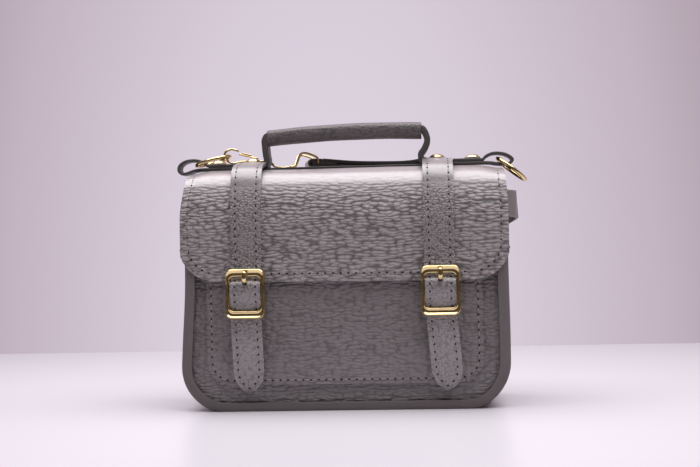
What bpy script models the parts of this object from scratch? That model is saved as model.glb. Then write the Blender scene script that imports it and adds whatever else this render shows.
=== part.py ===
# A small leather satchel: gusseted body, arched flap with two buckled straps, top handle, side rings
# and a clip-on shoulder strap. Metres, +Z up, front towards -Y, origin under the middle of the base.
import math

import bmesh
import bpy
from mathutils import Matrix, Vector

# Body
BAG_WIDTH = 0.200
BAG_DEPTH = 0.075
RIM_HEIGHT = 0.140
CORNER_RADIUS = 0.028
GUSSET_THICK = 0.0015
FLANGE_WIDTH = 0.0055
FLANGE_BEND = 0.0025
PANEL_THICK = 0.0016
PANEL_EASE = 0.0012
LINING_THICK = 0.0008
LINING_DROP = 0.004
BOARD_THICK = 0.0015
BOARD_MARGIN = 0.003
GAP = 0.0003
OVERRUN = 0.002

# Front pocket
POCKET_INSET = 0.0155
POCKET_FOOT = 0.0160
POCKET_DROP = 0.006
POCKET_RADIUS = 0.015
POCKET_THICK = 0.0018

# Flap
FLAP_THICK = 0.0018
FLAP_EASE = 0.0008
FLAP_RISE = 0.010
CROWN_ANGLE = math.radians(9.0)
FLAP_BEND = 0.0095
FLAP_FOOT_RISE = 0.0067
FLAP_CORNER = 0.017
HINGE_DROP = 0.0004
REAR_HINGE_LIFT = 0.0034
FRONT_HINGE_LIFT = 0.0024
HEM_LENGTH = 0.028
EDGE_DROP = 0.0022
EDGE_DROP_RUN = 0.017

# Vertical straps
STRAP_WIDTH = 0.0188
STRAP_THICK = 0.0018
STRAP_INSET = 0.0410
STRAP_RAISED = 0.0085
STRAP_LOWERED = 0.0280
STRAP_TIP = 0.0118
STRAP_POINT = 0.0130
POINT_BLUNT = 0.0006
TIP_EASE = 0.0022

# Buckles
BUCKLE_WIDTH = 0.0240
BUCKLE_HEIGHT = 0.0308
BUCKLE_SIDE = 0.0025
BUCKLE_BAR = 0.0052
BUCKLE_DEEP = 0.0032
BUCKLE_RADIUS = 0.0040
BUCKLE_WINDOW_RADIUS = 0.0012
BUCKLE_CHAMFER = 0.0007
BAR_RADIUS = 0.0010
BAR_Z = 0.0725
LUG_HIGH = 0.0034
CHAPE_THICK = 0.0010
CHAPE_WIDTH = 0.0150
CHAPE_LENGTH = 0.0205
CHAPE_JOIN = 0.0085
CHAPE_SLOT = 0.0034
SLOT_DEPTH = 0.0032
STRAP_LEAVE = 0.0215
TAIL_EASE = 0.0008
PRONG_RADIUS = 0.0011
PRONG_EYE_WIRE = 0.0005
PRONG_REACH = 0.0009
PRONG_SHAPE_SHARES = ((0.30, 0.10), (0.70, 0.26), (0.98, 0.48), (1.06, 0.68), (1.04, 0.90), (1, 1))
SLOT_WIDTH = 0.0030
SLOT_LOW = 0.0008
SLOT_HIGH = 0.0100
SNAP_DROP = 0.0115
SNAP_RADIUS = 0.0060
SOCKET_THICK = 0.0018
STUD_THICK = 0.0012
STUD_NOSE = 0.0030
SOCKET_DIMPLE = 0.0042

# Handle
BASE_STRIP_OVER = 0.0095
BASE_STRIP_WIDTH = 0.0150
BASE_STRIP_THICK = 0.0010
FOOT_THICK = 0.0012
FOOT_INWARD = 0.0120
FOOT_OUTWARD = 0.0085
LEG_WIDTH = 0.0140
LEG_THICK = 0.0030
LEG_FLARE = 0.0011
LEG_EASE = 0.0004
GRIP_INWARD = 0.0096
GRIP_HEIGHT = 0.0108
GRIP_WIDTH = 0.0150
GRIP_RISE = 0.0280
GRIP_CROWN = 0.0013
GRIP_ROOT = 0.0022

# Ring tabs, rings and rivets
TAB_WIDTH = 0.0110
TAB_THICK = 0.0013
TAB_LOOP = 0.0260
TAB_RISE = 0.0080
TAB_RIVET_SET = 0.0125
RING_RADIUS = 0.01105
RING_WIRE = 0.0012
RING_OUT_LEFT = 0.0141
RING_OUT_RIGHT = 0.0157
RING_HEIGHT = 0.0038
RING_TILT_LEFT = math.radians(14.8)
RING_TILT_RIGHT = math.radians(-38.4)
RIVET_RADIUS = 0.0050
RIVET_DOME = 0.0026
RIVET_STEM = 0.0015
RIVET_CAP_RADIUS = 0.0040
RIVET_CAP_THICK = 0.0008

# Snap clips
CLIP_WIRE = 0.00075
GATE_WIRE = 0.0006
BARREL_RADIUS = 0.0020
BARREL_LENGTH = 0.0030
COLLAR_RADIUS = 0.0015
COLLAR_LENGTH = 0.0022
HOOK_LENGTH = 0.0437
HOOK_RISE = 0.0126
EYE_REACH = 0.0163
EYE_RISE = 0.0090
EYE_BAR_RISE = 0.0024
THUMB_LENGTH = 0.0062
THUMB_WIDTH = 0.0036
THUMB_THICK = 0.0009
THUMB_LIFT = 0.0012
NEAR_CLIP_INWARD = 0.0601
NEAR_CLIP_BACK = 0.0130
NEAR_CLIP_LIFT = 0.0018
NEAR_CLIP_TURN = math.radians(10.8)
FAR_CLIP_HEIGHT = 0.0023

# Shoulder strap
SHOULDER_WIDTH = 0.0180
SHOULDER_THICK = 0.0020
FOLD_LENGTH = 0.0400
SHOULDER_COLUMNS = 6
COIL_HALF = 0.0690
COIL_RADII = (0.0240, 0.0195, 0.0075)
COIL_FIRST_Y = 0.0480
COIL_POINTS = 12
ROUTE_STEP = 0.0060
FAR_BAR_X = 0.0140
FOLD_START = 0.0030
FOLD_CLOSE = 0.0150
TURN_OVER_SHARE = 0.5
LIE_FLAT_SHARE = 0.3

# Places that follow from the sizes above
HALF_WIDTH = BAG_WIDTH / 2
HALF_DEPTH = BAG_DEPTH / 2
BOARD_WIDTH = BAG_WIDTH - 2 * (CORNER_RADIUS + BOARD_MARGIN)
POCKET_WIDTH = BAG_WIDTH - 2 * POCKET_INSET
POCKET_HEAD = RIM_HEIGHT - POCKET_DROP
FLAP_WIDTH = BAG_WIDTH
FLAP_CROWN_HEIGHT = RIM_HEIGHT + FLAP_RISE
FLAP_FOOT = BAR_Z + FLAP_FOOT_RISE
EDGE_DROP_START = HALF_WIDTH - EDGE_DROP_RUN
STRAP_X = HALF_WIDTH - STRAP_INSET
PANEL_FACE = HALF_DEPTH - GUSSET_THICK - GAP
POCKET_FACE = PANEL_FACE + GAP + POCKET_THICK
FLAP_FACE = POCKET_FACE + FLAP_EASE + FLAP_THICK
REAR_HINGE_Y = FLAP_FACE + REAR_HINGE_LIFT
FRONT_HINGE_Y = FLAP_FACE + FRONT_HINGE_LIFT
CROWN_HALF = FLAP_FACE - FLAP_BEND + FLAP_BEND * math.sin(CROWN_ANGLE)
CROWN_RADIUS = CROWN_HALF / math.sin(CROWN_ANGLE)
JUNCTION_Z = FLAP_CROWN_HEIGHT - CROWN_RADIUS * (1 - math.cos(CROWN_ANGLE))
BEND_Z = JUNCTION_Z - FLAP_BEND * math.cos(CROWN_ANGLE)
CROWN_ARC = CROWN_RADIUS * CROWN_ANGLE
BEND_ARC = FLAP_BEND * (math.pi / 2 - CROWN_ANGLE)
FACE_START = CROWN_ARC + BEND_ARC
HINGE_Z = BEND_Z - HINGE_DROP
HINGE_S = FACE_START + HINGE_DROP
STRIP_LIFT = GAP + BASE_STRIP_THICK
FOOT_LIFT = STRIP_LIFT + GAP + FOOT_THICK
STRAP_LIFT = FOOT_LIFT + GAP
SNAP_Z = BAR_Z - SNAP_DROP
CHAPE_BACK = POCKET_FACE + GAP + SOCKET_THICK + GAP + STUD_THICK + GAP
BAR_Y = CHAPE_BACK + CHAPE_THICK + GAP + BAR_RADIUS
STRAP_HUMP = BAR_Y + BAR_RADIUS + GAP + CHAPE_THICK + GAP
STRAP_LOW = CHAPE_BACK + 2 * CHAPE_THICK + 2 * GAP + TAIL_EASE
BAR_STEP = BUCKLE_HEIGHT / 2 - BUCKLE_BAR / 2
BASE_STRIP_LENGTH = 2 * (STRAP_X + BASE_STRIP_OVER)
GRIP_LENGTH = 2 * (STRAP_X - GRIP_INWARD)
GRIP_Z = FLAP_CROWN_HEIGHT + GRIP_RISE - GRIP_HEIGHT / 2
LEG_BULGE = GRIP_LENGTH / 2 + LEG_THICK + LEG_FLARE
LEG_WAIST = STRAP_X - STRAP_WIDTH / 2 - LEG_EASE - LEG_THICK / 2
TAB_INNER = STRAP_X + STRAP_WIDTH / 2 + 2 * GAP
TAB_RIVET_X = TAB_INNER + TAB_RIVET_SET
TAB_REACH = TAB_RIVET_X + TAB_LOOP
TAB_TOP = FLAP_CROWN_HEIGHT + TAB_RISE
RING_X_LEFT = TAB_RIVET_X + RING_OUT_LEFT
RING_X_RIGHT = TAB_RIVET_X + RING_OUT_RIGHT
NEAR_CLIP_PLACE = Vector((NEAR_CLIP_INWARD - RING_X_LEFT, NEAR_CLIP_BACK, FLAP_CROWN_HEIGHT + NEAR_CLIP_LIFT))


# Shared tools
def smooth_step(share):
    share = min(max(share, 0), 1)
    return share * share * (3 - 2 * share)


def blend_between(low, high, share):
    return low + (high - low) * share


def smooth_path(points, step):
    """Points at an even step along a smooth curve through the given ones (centripetal spline)."""
    points = [Vector(point) for point in points]
    padded = [points[0] * 2 - points[1]] + points + [points[-1] * 2 - points[-2]]
    fine = []
    for index in range(1, len(padded) - 2):
        before, start, end, after = padded[index - 1:index + 3]
        knots = [0]
        for one, two in ((before, start), (start, end), (end, after)):
            knots.append(knots[-1] + math.sqrt((two - one).length))
        pieces = 24
        for piece in range(pieces):
            now = blend_between(knots[1], knots[2], piece / pieces)
            first = before.lerp(start, (now - knots[0]) / (knots[1] - knots[0]))
            second = start.lerp(end, (now - knots[1]) / (knots[2] - knots[1]))
            third = end.lerp(after, (now - knots[2]) / (knots[3] - knots[2]))
            left = first.lerp(second, (now - knots[0]) / (knots[2] - knots[0]))
            right = second.lerp(third, (now - knots[1]) / (knots[3] - knots[1]))
            fine.append(left.lerp(right, (now - knots[1]) / (knots[2] - knots[1])))
    fine.append(points[-1])
    return resample(fine, step)


def resample(fine, step):
    lengths = [0]
    for one, two in zip(fine, fine[1:]):
        lengths.append(lengths[-1] + (two - one).length)
    count = max(2, round(lengths[-1] / step))
    result = []
    place = 0
    for number in range(count + 1):
        target = lengths[-1] * number / count
        while place < len(fine) - 2 and lengths[place + 1] < target:
            place += 1
        span = lengths[place + 1] - lengths[place]
        share = 0 if span == 0 else (target - lengths[place]) / span
        result.append(fine[place].lerp(fine[place + 1], min(max(share, 0), 1)))
    return result


def start_scene():
    for old in list(bpy.data.objects):
        bpy.data.objects.remove(old, do_unlink=True)
    parts = bpy.data.collections.new("satchel")
    cutters = bpy.data.collections.new("cutters")
    for group in (parts, cutters):
        bpy.context.scene.collection.children.link(group)
    return parts, cutters


PARTS, CUTTERS = start_scene()


def finish_material(name, color, roughness, metallic=0.0):
    material = bpy.data.materials.new(name)
    material.use_nodes = True
    shader = material.node_tree.nodes["Principled BSDF"]
    shader.inputs["Base Color"].default_value = (*color, 1)
    shader.inputs["Roughness"].default_value = roughness
    shader.inputs["Metallic"].default_value = metallic
    return material


def leather(name):
    return finish_material(name, (0.33, 0.30, 0.31), 0.45)


def dark_leather(name):
    return finish_material(name, (0.12, 0.11, 0.11), 0.6)


def cloth(name):
    return finish_material(name, (0.22, 0.20, 0.20), 0.9)


def board(name):
    return finish_material(name, (0.40, 0.36, 0.30), 0.8)


def gold(name):
    return finish_material(name, (0.83, 0.62, 0.28), 0.2, 1.0)


def place_in(obj, group):
    for old in list(obj.users_collection):
        old.objects.unlink(obj)
    group.objects.link(obj)


def new_part(name, mesh, finish):
    obj = bpy.data.objects.new(name, mesh)
    mesh.materials.clear()
    mesh.materials.append(finish(name))
    PARTS.objects.link(obj)
    return obj


def smooth_shade(obj):
    obj.data.shade_smooth()
    obj.data.set_sharp_from_angle(angle=math.radians(40))


def sheet(name, place, along, across, thickness, finish):
    """A strip of leather: a grid laid on its middle surface by place(along, across), then thickened."""
    bpy.ops.mesh.primitive_grid_add(x_subdivisions=along, y_subdivisions=across, size=2)
    grid = bpy.context.active_object
    for vertex in grid.data.vertices:
        u = (vertex.co.x + 1) / 2
        v = (vertex.co.y + 1) / 2
        vertex.co = place(u, v)
    mesh = grid.data
    bpy.data.objects.remove(grid, do_unlink=True)
    obj = new_part(name, mesh, finish)
    solid = obj.modifiers.new("thickness", "SOLIDIFY")
    solid.thickness = thickness
    solid.offset = 0
    solid.use_even_offset = True
    smooth_shade(obj)
    return obj


def wire(name, points, radius, finish, closed=False, radii_shares=None, sides=3):
    """A bent wire or rod: a curve with a round bevel and filled ends."""
    curve = bpy.data.curves.new(name, "CURVE")
    curve.dimensions = "3D"
    curve.bevel_depth = radius
    curve.bevel_resolution = sides
    curve.use_fill_caps = True
    spline = curve.splines.new("POLY")
    spline.points.add(len(points) - 1)
    for index, point in enumerate(points):
        spline.points[index].co = (*point, 1)
        spline.points[index].radius = radii_shares[index] if radii_shares else 1
    spline.use_cyclic_u = closed
    obj = bpy.data.objects.new(name, curve)
    curve.materials.append(finish(name))
    PARTS.objects.link(obj)
    return obj


def to_mesh(obj):
    """The evaluated shape of a curve object as a closed mesh object in the same place."""
    bpy.context.view_layer.update()
    graph = bpy.context.evaluated_depsgraph_get()
    mesh = bpy.data.meshes.new_from_object(obj.evaluated_get(graph))
    shape = bmesh.new()
    shape.from_mesh(mesh)
    bmesh.ops.remove_doubles(shape, verts=shape.verts, dist=0.000002)
    shape.to_mesh(mesh)
    shape.free()
    name, place, group = obj.name, obj.matrix_world.copy(), obj.users_collection[0]
    bpy.data.objects.remove(obj, do_unlink=True)
    result = bpy.data.objects.new(name, mesh)
    result.matrix_world = place
    group.objects.link(result)
    smooth_shade(result)
    return result


def plate(name, outlines, thickness, finish):
    """A flat piece: closed outlines in X and Z, filled and given a thickness along Y."""
    curve = bpy.data.curves.new(name, "CURVE")
    curve.dimensions = "2D"
    curve.fill_mode = "BOTH"
    curve.extrude = thickness / 2
    for outline in outlines:
        spline = curve.splines.new("POLY")
        spline.points.add(len(outline) - 1)
        for index, (x, z) in enumerate(outline):
            spline.points[index].co = (x, z, 0, 1)
        spline.use_cyclic_u = True
    obj = bpy.data.objects.new(name, curve)
    curve.materials.append(finish(name))
    PARTS.objects.link(obj)
    obj.rotation_euler = (math.pi / 2, 0, 0)
    return to_mesh(obj)


def turned(name, profile, steps, finish):
    """A turned piece about Z: its half outline at +X, top to bottom, swept by a Screw."""
    mesh = bpy.data.meshes.new(name)
    shape = bmesh.new()
    corners = [shape.verts.new((radius, 0, height)) for radius, height in profile]
    for one, two in zip(corners, corners[1:]):
        shape.edges.new((one, two))
    shape.to_mesh(mesh)
    shape.free()
    obj = new_part(name, mesh, finish)
    screw = obj.modifiers.new("turn", "SCREW")
    screw.steps = steps
    screw.render_steps = steps
    screw.use_merge_vertices = True
    screw.merge_threshold = 0.00001
    smooth_shade(obj)
    return obj


def box(name, size, middle, finish=None):
    bpy.ops.mesh.primitive_cube_add(size=1)
    obj = bpy.context.active_object
    obj.name = name
    obj.data.transform(Matrix.Diagonal((*size, 1)))
    obj.location = middle
    if finish:
        obj.data.materials.append(finish(name))
        place_in(obj, PARTS)
    else:
        hide_cutter(obj)
    return obj


def rod(name, radius, length, middle, axis, sides, finish=None):
    bpy.ops.mesh.primitive_cylinder_add(vertices=sides, radius=radius, depth=length)
    obj = bpy.context.active_object
    obj.name = name
    obj.location = middle
    obj.rotation_euler = Vector(axis).to_track_quat("Z", "Y").to_euler()
    if finish:
        obj.data.materials.append(finish(name))
        place_in(obj, PARTS)
    else:
        hide_cutter(obj)
    return obj


def hide_cutter(obj):
    place_in(obj, CUTTERS)
    obj.hide_render = True
    obj.display_type = "WIRE"


def boolean(obj, other, operation):
    change = obj.modifiers.new(operation.lower(), "BOOLEAN")
    change.operation = operation
    change.solver = "EXACT"
    change.object = other


def join_with(obj, other):
    hide_cutter(other)
    boolean(obj, other, "UNION")


def joint_axis(name, place, pieces, parent=None):
    """An empty on a joint's axis that carries the joint's pieces, each kept where it is."""
    empty = bpy.data.objects.new(name, None)
    empty.location = place
    PARTS.objects.link(empty)
    bpy.context.view_layer.update()
    if parent:
        empty.parent = parent
        empty.matrix_parent_inverse = parent.matrix_world.inverted()
    for piece in pieces:
        obj = PARTS.objects[piece]
        obj.parent = empty
        obj.matrix_parent_inverse = empty.matrix_world.inverted()
    bpy.context.view_layer.update()
    return empty


# The cross-section that every flap layer follows
def flap_section(s, lift):
    """Y, Z and normal of the flap's outer side, s along it from the crown to the front, raised by lift."""
    side = -1 if s >= 0 else 1
    run = abs(s)
    if run <= CROWN_ARC:
        angle = run / CROWN_RADIUS
        out = CROWN_RADIUS * math.sin(angle)
        height = FLAP_CROWN_HEIGHT - CROWN_RADIUS * (1 - math.cos(angle))
    elif run <= FACE_START:
        angle = CROWN_ANGLE + (run - CROWN_ARC) / FLAP_BEND
        out = FLAP_FACE - FLAP_BEND + FLAP_BEND * math.sin(angle)
        height = BEND_Z + FLAP_BEND * math.cos(angle)
    else:
        angle = math.pi / 2
        out = FLAP_FACE
        height = BEND_Z - (run - FACE_START)
    out += lift * math.sin(angle)
    height += lift * math.cos(angle)
    return side * out, height, Vector((0, side * math.sin(angle), math.cos(angle)))


def edge_drop(x):
    """How far the flap's top sags towards its ends."""
    return EDGE_DROP * smooth_step((abs(x) - EDGE_DROP_START) / (HALF_WIDTH - EDGE_DROP_START))


def on_flap(x, s, lift):
    y, z, normal = flap_section(s, lift)
    return Vector((x, y, z - edge_drop(x) * normal.z))


def section_stops(start, end, face_step):
    """Stations along the flap, close together on the bends and further apart on the flats."""
    bends = [FACE_START - BEND_ARC * share / 6 for share in range(7)]
    marks = {start, end}
    for stop in bends + [0, CROWN_ARC / 3, CROWN_ARC * 2 / 3]:
        for signed in (stop, -stop):
            if start < signed < end:
                marks.add(signed)
    stops = sorted(marks)
    full = []
    for one, two in zip(stops, stops[1:]):
        pieces = max(1, math.ceil((two - one) / face_step))
        full += [blend_between(one, two, piece / pieces) for piece in range(pieces)]
    return full + [end]


# Body pieces
def body_outline(inset, top):
    """Upright sides and rounded lower corners, inset from the body's outline, as X and Z."""
    half = HALF_WIDTH - inset
    radius = CORNER_RADIUS - inset
    points = [(-half, top)]
    for step in range(9):
        angle = math.pi + math.pi / 2 * step / 8
        points.append((-half + radius + radius * math.cos(angle), inset + radius + radius * math.sin(angle)))
    right = [(-x, z) for x, z in reversed(points)]
    return points + right


def make_gusset():
    """One strip round both sides and the base, its two edges turned over the panels' edges."""
    half_thick = GUSSET_THICK / 2
    outline = body_outline(half_thick, RIM_HEIGHT)
    front = HALF_DEPTH - half_thick
    across = [(FLANGE_WIDTH - half_thick, -front), (FLANGE_BEND, -front)]
    for step in range(1, 4):
        angle = math.pi / 2 * step / 3
        across.append((FLANGE_BEND * (1 - math.sin(angle)), -front + FLANGE_BEND * (1 - math.cos(angle))))
    across += [(inset, -y) for inset, y in reversed(across)]

    def place(u, v):
        index = round(u * (len(outline) - 1))
        inset, y = across[round(v * (len(across) - 1))]
        x, z = body_outline(half_thick + inset, RIM_HEIGHT)[index]
        return Vector((x, y, z))

    return sheet("gusset", place, len(outline) - 1, len(across) - 1, GUSSET_THICK, leather)


def make_panels():
    outline = body_outline(GUSSET_THICK + GAP + PANEL_EASE, RIM_HEIGHT)
    middle = PANEL_FACE - PANEL_THICK / 2
    front = plate("front_panel", [outline], PANEL_THICK, leather)
    front.location.y = -middle
    back = plate("back_panel", [outline], PANEL_THICK, leather)
    back.location.y = middle


def make_lining():
    """An open-topped cloth box just inside the panels and the gusset."""
    inset = GUSSET_THICK + GAP
    depth = 2 * (PANEL_FACE - PANEL_THICK - GAP)
    obj = plate("lining", [body_outline(inset, RIM_HEIGHT - LINING_DROP)], depth, cloth)
    shape = bmesh.new()
    shape.from_mesh(obj.data)
    shape.normal_update()
    lid = [face for face in shape.faces if face.normal.y > 0.9]
    bmesh.ops.delete(shape, geom=lid, context="FACES_ONLY")
    shape.to_mesh(obj.data)
    shape.free()
    wall = obj.modifiers.new("wall", "SOLIDIFY")
    wall.thickness = LINING_THICK
    wall.offset = -1
    wall.use_even_offset = True


def make_base_board():
    floor = GUSSET_THICK + GAP + LINING_THICK + GAP
    depth = 2 * (PANEL_FACE - PANEL_THICK - GAP - LINING_THICK - BOARD_MARGIN)
    box("base_board", (BOARD_WIDTH, depth, BOARD_THICK), (0, 0, floor + BOARD_THICK / 2), board)


def make_front_pocket():
    half = POCKET_WIDTH / 2
    points = [(-half, POCKET_HEAD)]
    for step in range(7):
        angle = math.pi + math.pi / 2 * step / 6
        points.append((-half + POCKET_RADIUS * (1 + math.cos(angle)),
                       POCKET_FOOT + POCKET_RADIUS * (1 + math.sin(angle))))
    points += [(-x, z) for x, z in reversed(points)]
    pocket = plate("front_pocket", [points], POCKET_THICK, leather)
    pocket.location.y = -(POCKET_FACE - POCKET_THICK / 2)


# Flap
def cut_for_stem(obj, x):
    """A hole on the bag's middle line for a rivet's stem."""
    depth = RIVET_DOME + FLAP_CROWN_HEIGHT - RIM_HEIGHT + OVERRUN
    cutter = rod(f"{obj.name}_stem_cut", RIVET_STEM + GAP, depth, (x, 0, FLAP_CROWN_HEIGHT), (0, 0, 1), 10)
    boolean(obj, cutter, "DIFFERENCE")


def cross_stops(half):
    """X stations over the flap: the sagging ends get more of them."""
    inner = EDGE_DROP_START
    ends = [blend_between(inner, half, step / 4) for step in range(5)]
    middle = [inner * step / 3 for step in range(-2, 3)]
    return [-x for x in reversed(ends)] + middle + ends


def make_flap_top():
    stops = section_stops(-HINGE_S + GAP, HINGE_S - GAP, HINGE_S)
    across = cross_stops(FLAP_WIDTH / 2)

    def place(u, v):
        x = across[round(v * (len(across) - 1))]
        return on_flap(x, stops[round(u * (len(stops) - 1))], -FLAP_THICK / 2)

    flap = sheet("flap_top", place, len(stops) - 1, len(across) - 1, FLAP_THICK, leather)
    for side in (-1, 1):
        cut_for_stem(flap, side * STRAP_X)
        cut_for_stem(flap, side * TAB_RIVET_X)


def make_flap_front():
    """The flap's hanging face, its lower corners rounded."""
    half = FLAP_WIDTH / 2
    straight = half - FLAP_CORNER
    steps = 8
    right = []
    for step in range(steps + 1):
        angle = math.pi / 2 * step / steps
        right.append((straight + FLAP_CORNER * math.sin(angle), FLAP_FOOT + FLAP_CORNER * (1 - math.cos(angle))))
    edge = [(-x, z) for x, z in reversed(right)] + [(straight * share, FLAP_FOOT) for share in (-0.5, 0, 0.5)]
    edge += right
    top = HINGE_Z - GAP

    def place(u, v):
        x, foot = edge[round(v * (len(edge) - 1))]
        return Vector((x, -FLAP_FACE + FLAP_THICK / 2, blend_between(top, foot, u)))

    sheet("flap_front", place, 3, len(edge) - 1, FLAP_THICK, leather)


def make_flap_hem():
    top = HINGE_Z - GAP

    def place(u, v):
        return Vector((FLAP_WIDTH * (v - 0.5), FLAP_FACE - FLAP_THICK / 2, top - HEM_LENGTH * u))

    sheet("flap_hem", place, 1, 2, FLAP_THICK, leather)


# Vertical straps
def strap_lift(s):
    """How high a strap's underside runs over the flap: raised on the handle's foot, then down on the flap."""
    share = smooth_step((abs(s) - STRAP_RAISED) / (STRAP_LOWERED - STRAP_RAISED))
    return blend_between(STRAP_LIFT, GAP, share)


def strap_under(z):
    """Distance of a hanging strap's underside from the bag's middle, at a height."""
    leave = BAR_Z + STRAP_LEAVE
    low = BAR_Z - BAR_STEP
    if z >= BAR_Z:
        return blend_between(FLAP_FACE + GAP, STRAP_HUMP, smooth_step((leave - z) / STRAP_LEAVE))
    if z >= low:
        return blend_between(STRAP_HUMP, STRAP_LOW, smooth_step((BAR_Z - z) / BAR_STEP))
    return blend_between(STRAP_LOW, POCKET_FACE + TIP_EASE, smooth_step((low - z) / (low - STRAP_TIP)))


def point_half_width(z):
    """Half width of a strap whose end is drawn in to a point by two arcs."""
    half = STRAP_WIDTH / 2
    rise = STRAP_TIP + STRAP_POINT - z
    if rise <= 0:
        return half
    radius = (half * half + STRAP_POINT * STRAP_POINT) / (2 * half)
    return max(math.sqrt(max(radius * radius - rise * rise, 0)) - (radius - half), POINT_BLUNT)


def make_strap(side, tag):
    x = side * STRAP_X
    half = STRAP_WIDTH / 2
    stops = section_stops(-HINGE_S + GAP, HINGE_S - GAP, CROWN_ARC / 5)

    def over_top(u, v):
        s = stops[round(u * (len(stops) - 1))]
        return on_flap(x, s, strap_lift(s) + STRAP_THICK / 2) + Vector(((v * 2 - 1) * half, 0, 0))

    top = sheet(f"strap_top_{tag}", over_top, len(stops) - 1, 2, STRAP_THICK, leather)
    cut_for_stem(top, x)

    heights = [HINGE_Z - GAP, BAR_Z + STRAP_LEAVE]
    heights += [BAR_Z + STRAP_LEAVE * (1 - share / 8) for share in range(1, 9)]
    heights += [BAR_Z - BAR_STEP * share / 5 for share in range(1, 6)]
    shoulder = STRAP_TIP + STRAP_POINT
    heights += [blend_between(BAR_Z - BAR_STEP, shoulder, share / 4) for share in range(1, 5)]
    heights += [shoulder - STRAP_POINT * math.sin(math.pi / 2 * share / 7) for share in range(1, 8)]

    def down_front(u, v):
        z = heights[round(u * (len(heights) - 1))]
        return Vector((x + (v * 2 - 1) * point_half_width(z), -strap_under(z) - STRAP_THICK / 2, z))

    front = sheet(f"strap_front_{tag}", down_front, len(heights) - 1, 2, STRAP_THICK, leather)
    slot = (SLOT_WIDTH, STRAP_HUMP, SLOT_LOW + SLOT_HIGH)
    cutter = box(f"strap_slot_{tag}", slot, (x, -STRAP_HUMP, BAR_Z + (SLOT_HIGH - SLOT_LOW) / 2))
    boolean(front, cutter, "DIFFERENCE")

    def down_back(u, v):
        y = FLAP_FACE + GAP + STRAP_THICK / 2
        return Vector((x + (v * 2 - 1) * half, y, HINGE_Z - GAP - HEM_LENGTH * u))

    sheet(f"strap_end_{tag}", down_back, 1, 1, STRAP_THICK, leather)


# Buckles, their chapes and the hidden snaps
def rounded_rectangle(width, height, radius):
    points = []
    for quarter in range(4):
        middle_x = (width / 2 - radius) * (1 if quarter in (0, 3) else -1)
        middle_z = (height / 2 - radius) * (1 if quarter in (0, 1) else -1)
        for step in range(5):
            angle = math.pi / 2 * (quarter + step / 4)
            points.append((middle_x + radius * math.cos(angle), middle_z + radius * math.sin(angle)))
    return points


def frame_middle_y(z_step):
    """Middle of a buckle bar: just in front of the strap that passes behind it."""
    z = BAR_Z + z_step
    nearest = max(strap_under(z - BUCKLE_BAR / 2), strap_under(z), strap_under(z + BUCKLE_BAR / 2))
    return nearest + STRAP_THICK + 3 * GAP + BUCKLE_DEEP / 2


def make_buckle(side, tag):
    x = side * STRAP_X
    top_y = frame_middle_y(BAR_STEP)
    low_y = frame_middle_y(-BAR_STEP)
    tilt = math.atan2(low_y - top_y, 2 * BAR_STEP)
    outer = rounded_rectangle(BUCKLE_WIDTH, BUCKLE_HEIGHT, BUCKLE_RADIUS)
    window = rounded_rectangle(BUCKLE_WIDTH - 2 * BUCKLE_SIDE, BUCKLE_HEIGHT - 2 * BUCKLE_BAR,
                               BUCKLE_WINDOW_RADIUS)
    frame = plate(f"buckle_{tag}", [outer, window], BUCKLE_DEEP, gold)
    middle_y = (top_y + low_y) / 2
    frame.location = (x, -middle_y, BAR_Z)
    frame.rotation_euler.x += -tilt
    bevel = frame.modifiers.new("chamfer", "BEVEL")
    bevel.width = BUCKLE_CHAMFER
    bevel.segments = 1
    bevel.limit_method = "ANGLE"
    bevel.angle_limit = math.radians(50)
    lug_x = BUCKLE_WIDTH / 2 - BUCKLE_SIDE / 2
    lug_wide = BUCKLE_SIDE - BUCKLE_CHAMFER
    lug_back = BAR_Y - BAR_RADIUS - GAP
    for lug_side, lug_tag in ((-1, "inner"), (1, "outer")):
        lug = box(f"buckle_lug_{lug_tag}_{tag}", (lug_wide, middle_y - lug_back, LUG_HIGH),
                  (x + lug_side * lug_x, -(middle_y + lug_back) / 2, BAR_Z), gold)
        join_with(frame, lug)
    bar = rod(f"buckle_bar_{tag}", BAR_RADIUS, 2 * lug_x, (x, -BAR_Y, BAR_Z), (1, 0, 0), 12, gold)
    join_with(frame, bar)


def make_chape(side, tag):
    """The short leather loop round the buckle's bar, its two layers meeting below it."""
    x = side * STRAP_X
    half = CHAPE_THICK / 2
    turn = BAR_RADIUS + GAP + half
    back = CHAPE_BACK + half
    front = back + CHAPE_THICK + GAP
    foot = BAR_Z - CHAPE_LENGTH
    path = [(back, foot), (back, BAR_Z - CHAPE_JOIN), (BAR_Y - turn, BAR_Z)]
    for step in range(1, 8):
        angle = math.pi * step / 8
        path.append((BAR_Y - turn * math.cos(angle), BAR_Z + turn * math.sin(angle)))
    path.append((BAR_Y + turn, BAR_Z))
    for step in range(1, 5):
        share = step / 5
        path.append((blend_between(BAR_Y + turn, front, smooth_step(share)), BAR_Z - CHAPE_JOIN * share))
    path += [(front, BAR_Z - CHAPE_JOIN), (front, foot)]

    def place(u, v):
        y, z = path[round(u * (len(path) - 1))]
        return Vector((x + (v - 0.5) * CHAPE_WIDTH, -y, z))

    chape = sheet(f"chape_{tag}", place, len(path) - 1, 1, CHAPE_THICK, leather)
    high = SLOT_DEPTH + turn + CHAPE_THICK
    size = (CHAPE_SLOT, STRAP_HUMP - CHAPE_BACK + OVERRUN, high)
    cutter = box(f"chape_slot_{tag}", size, (x, -BAR_Y, BAR_Z - SLOT_DEPTH + high / 2))
    boolean(chape, cutter, "DIFFERENCE")


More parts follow.
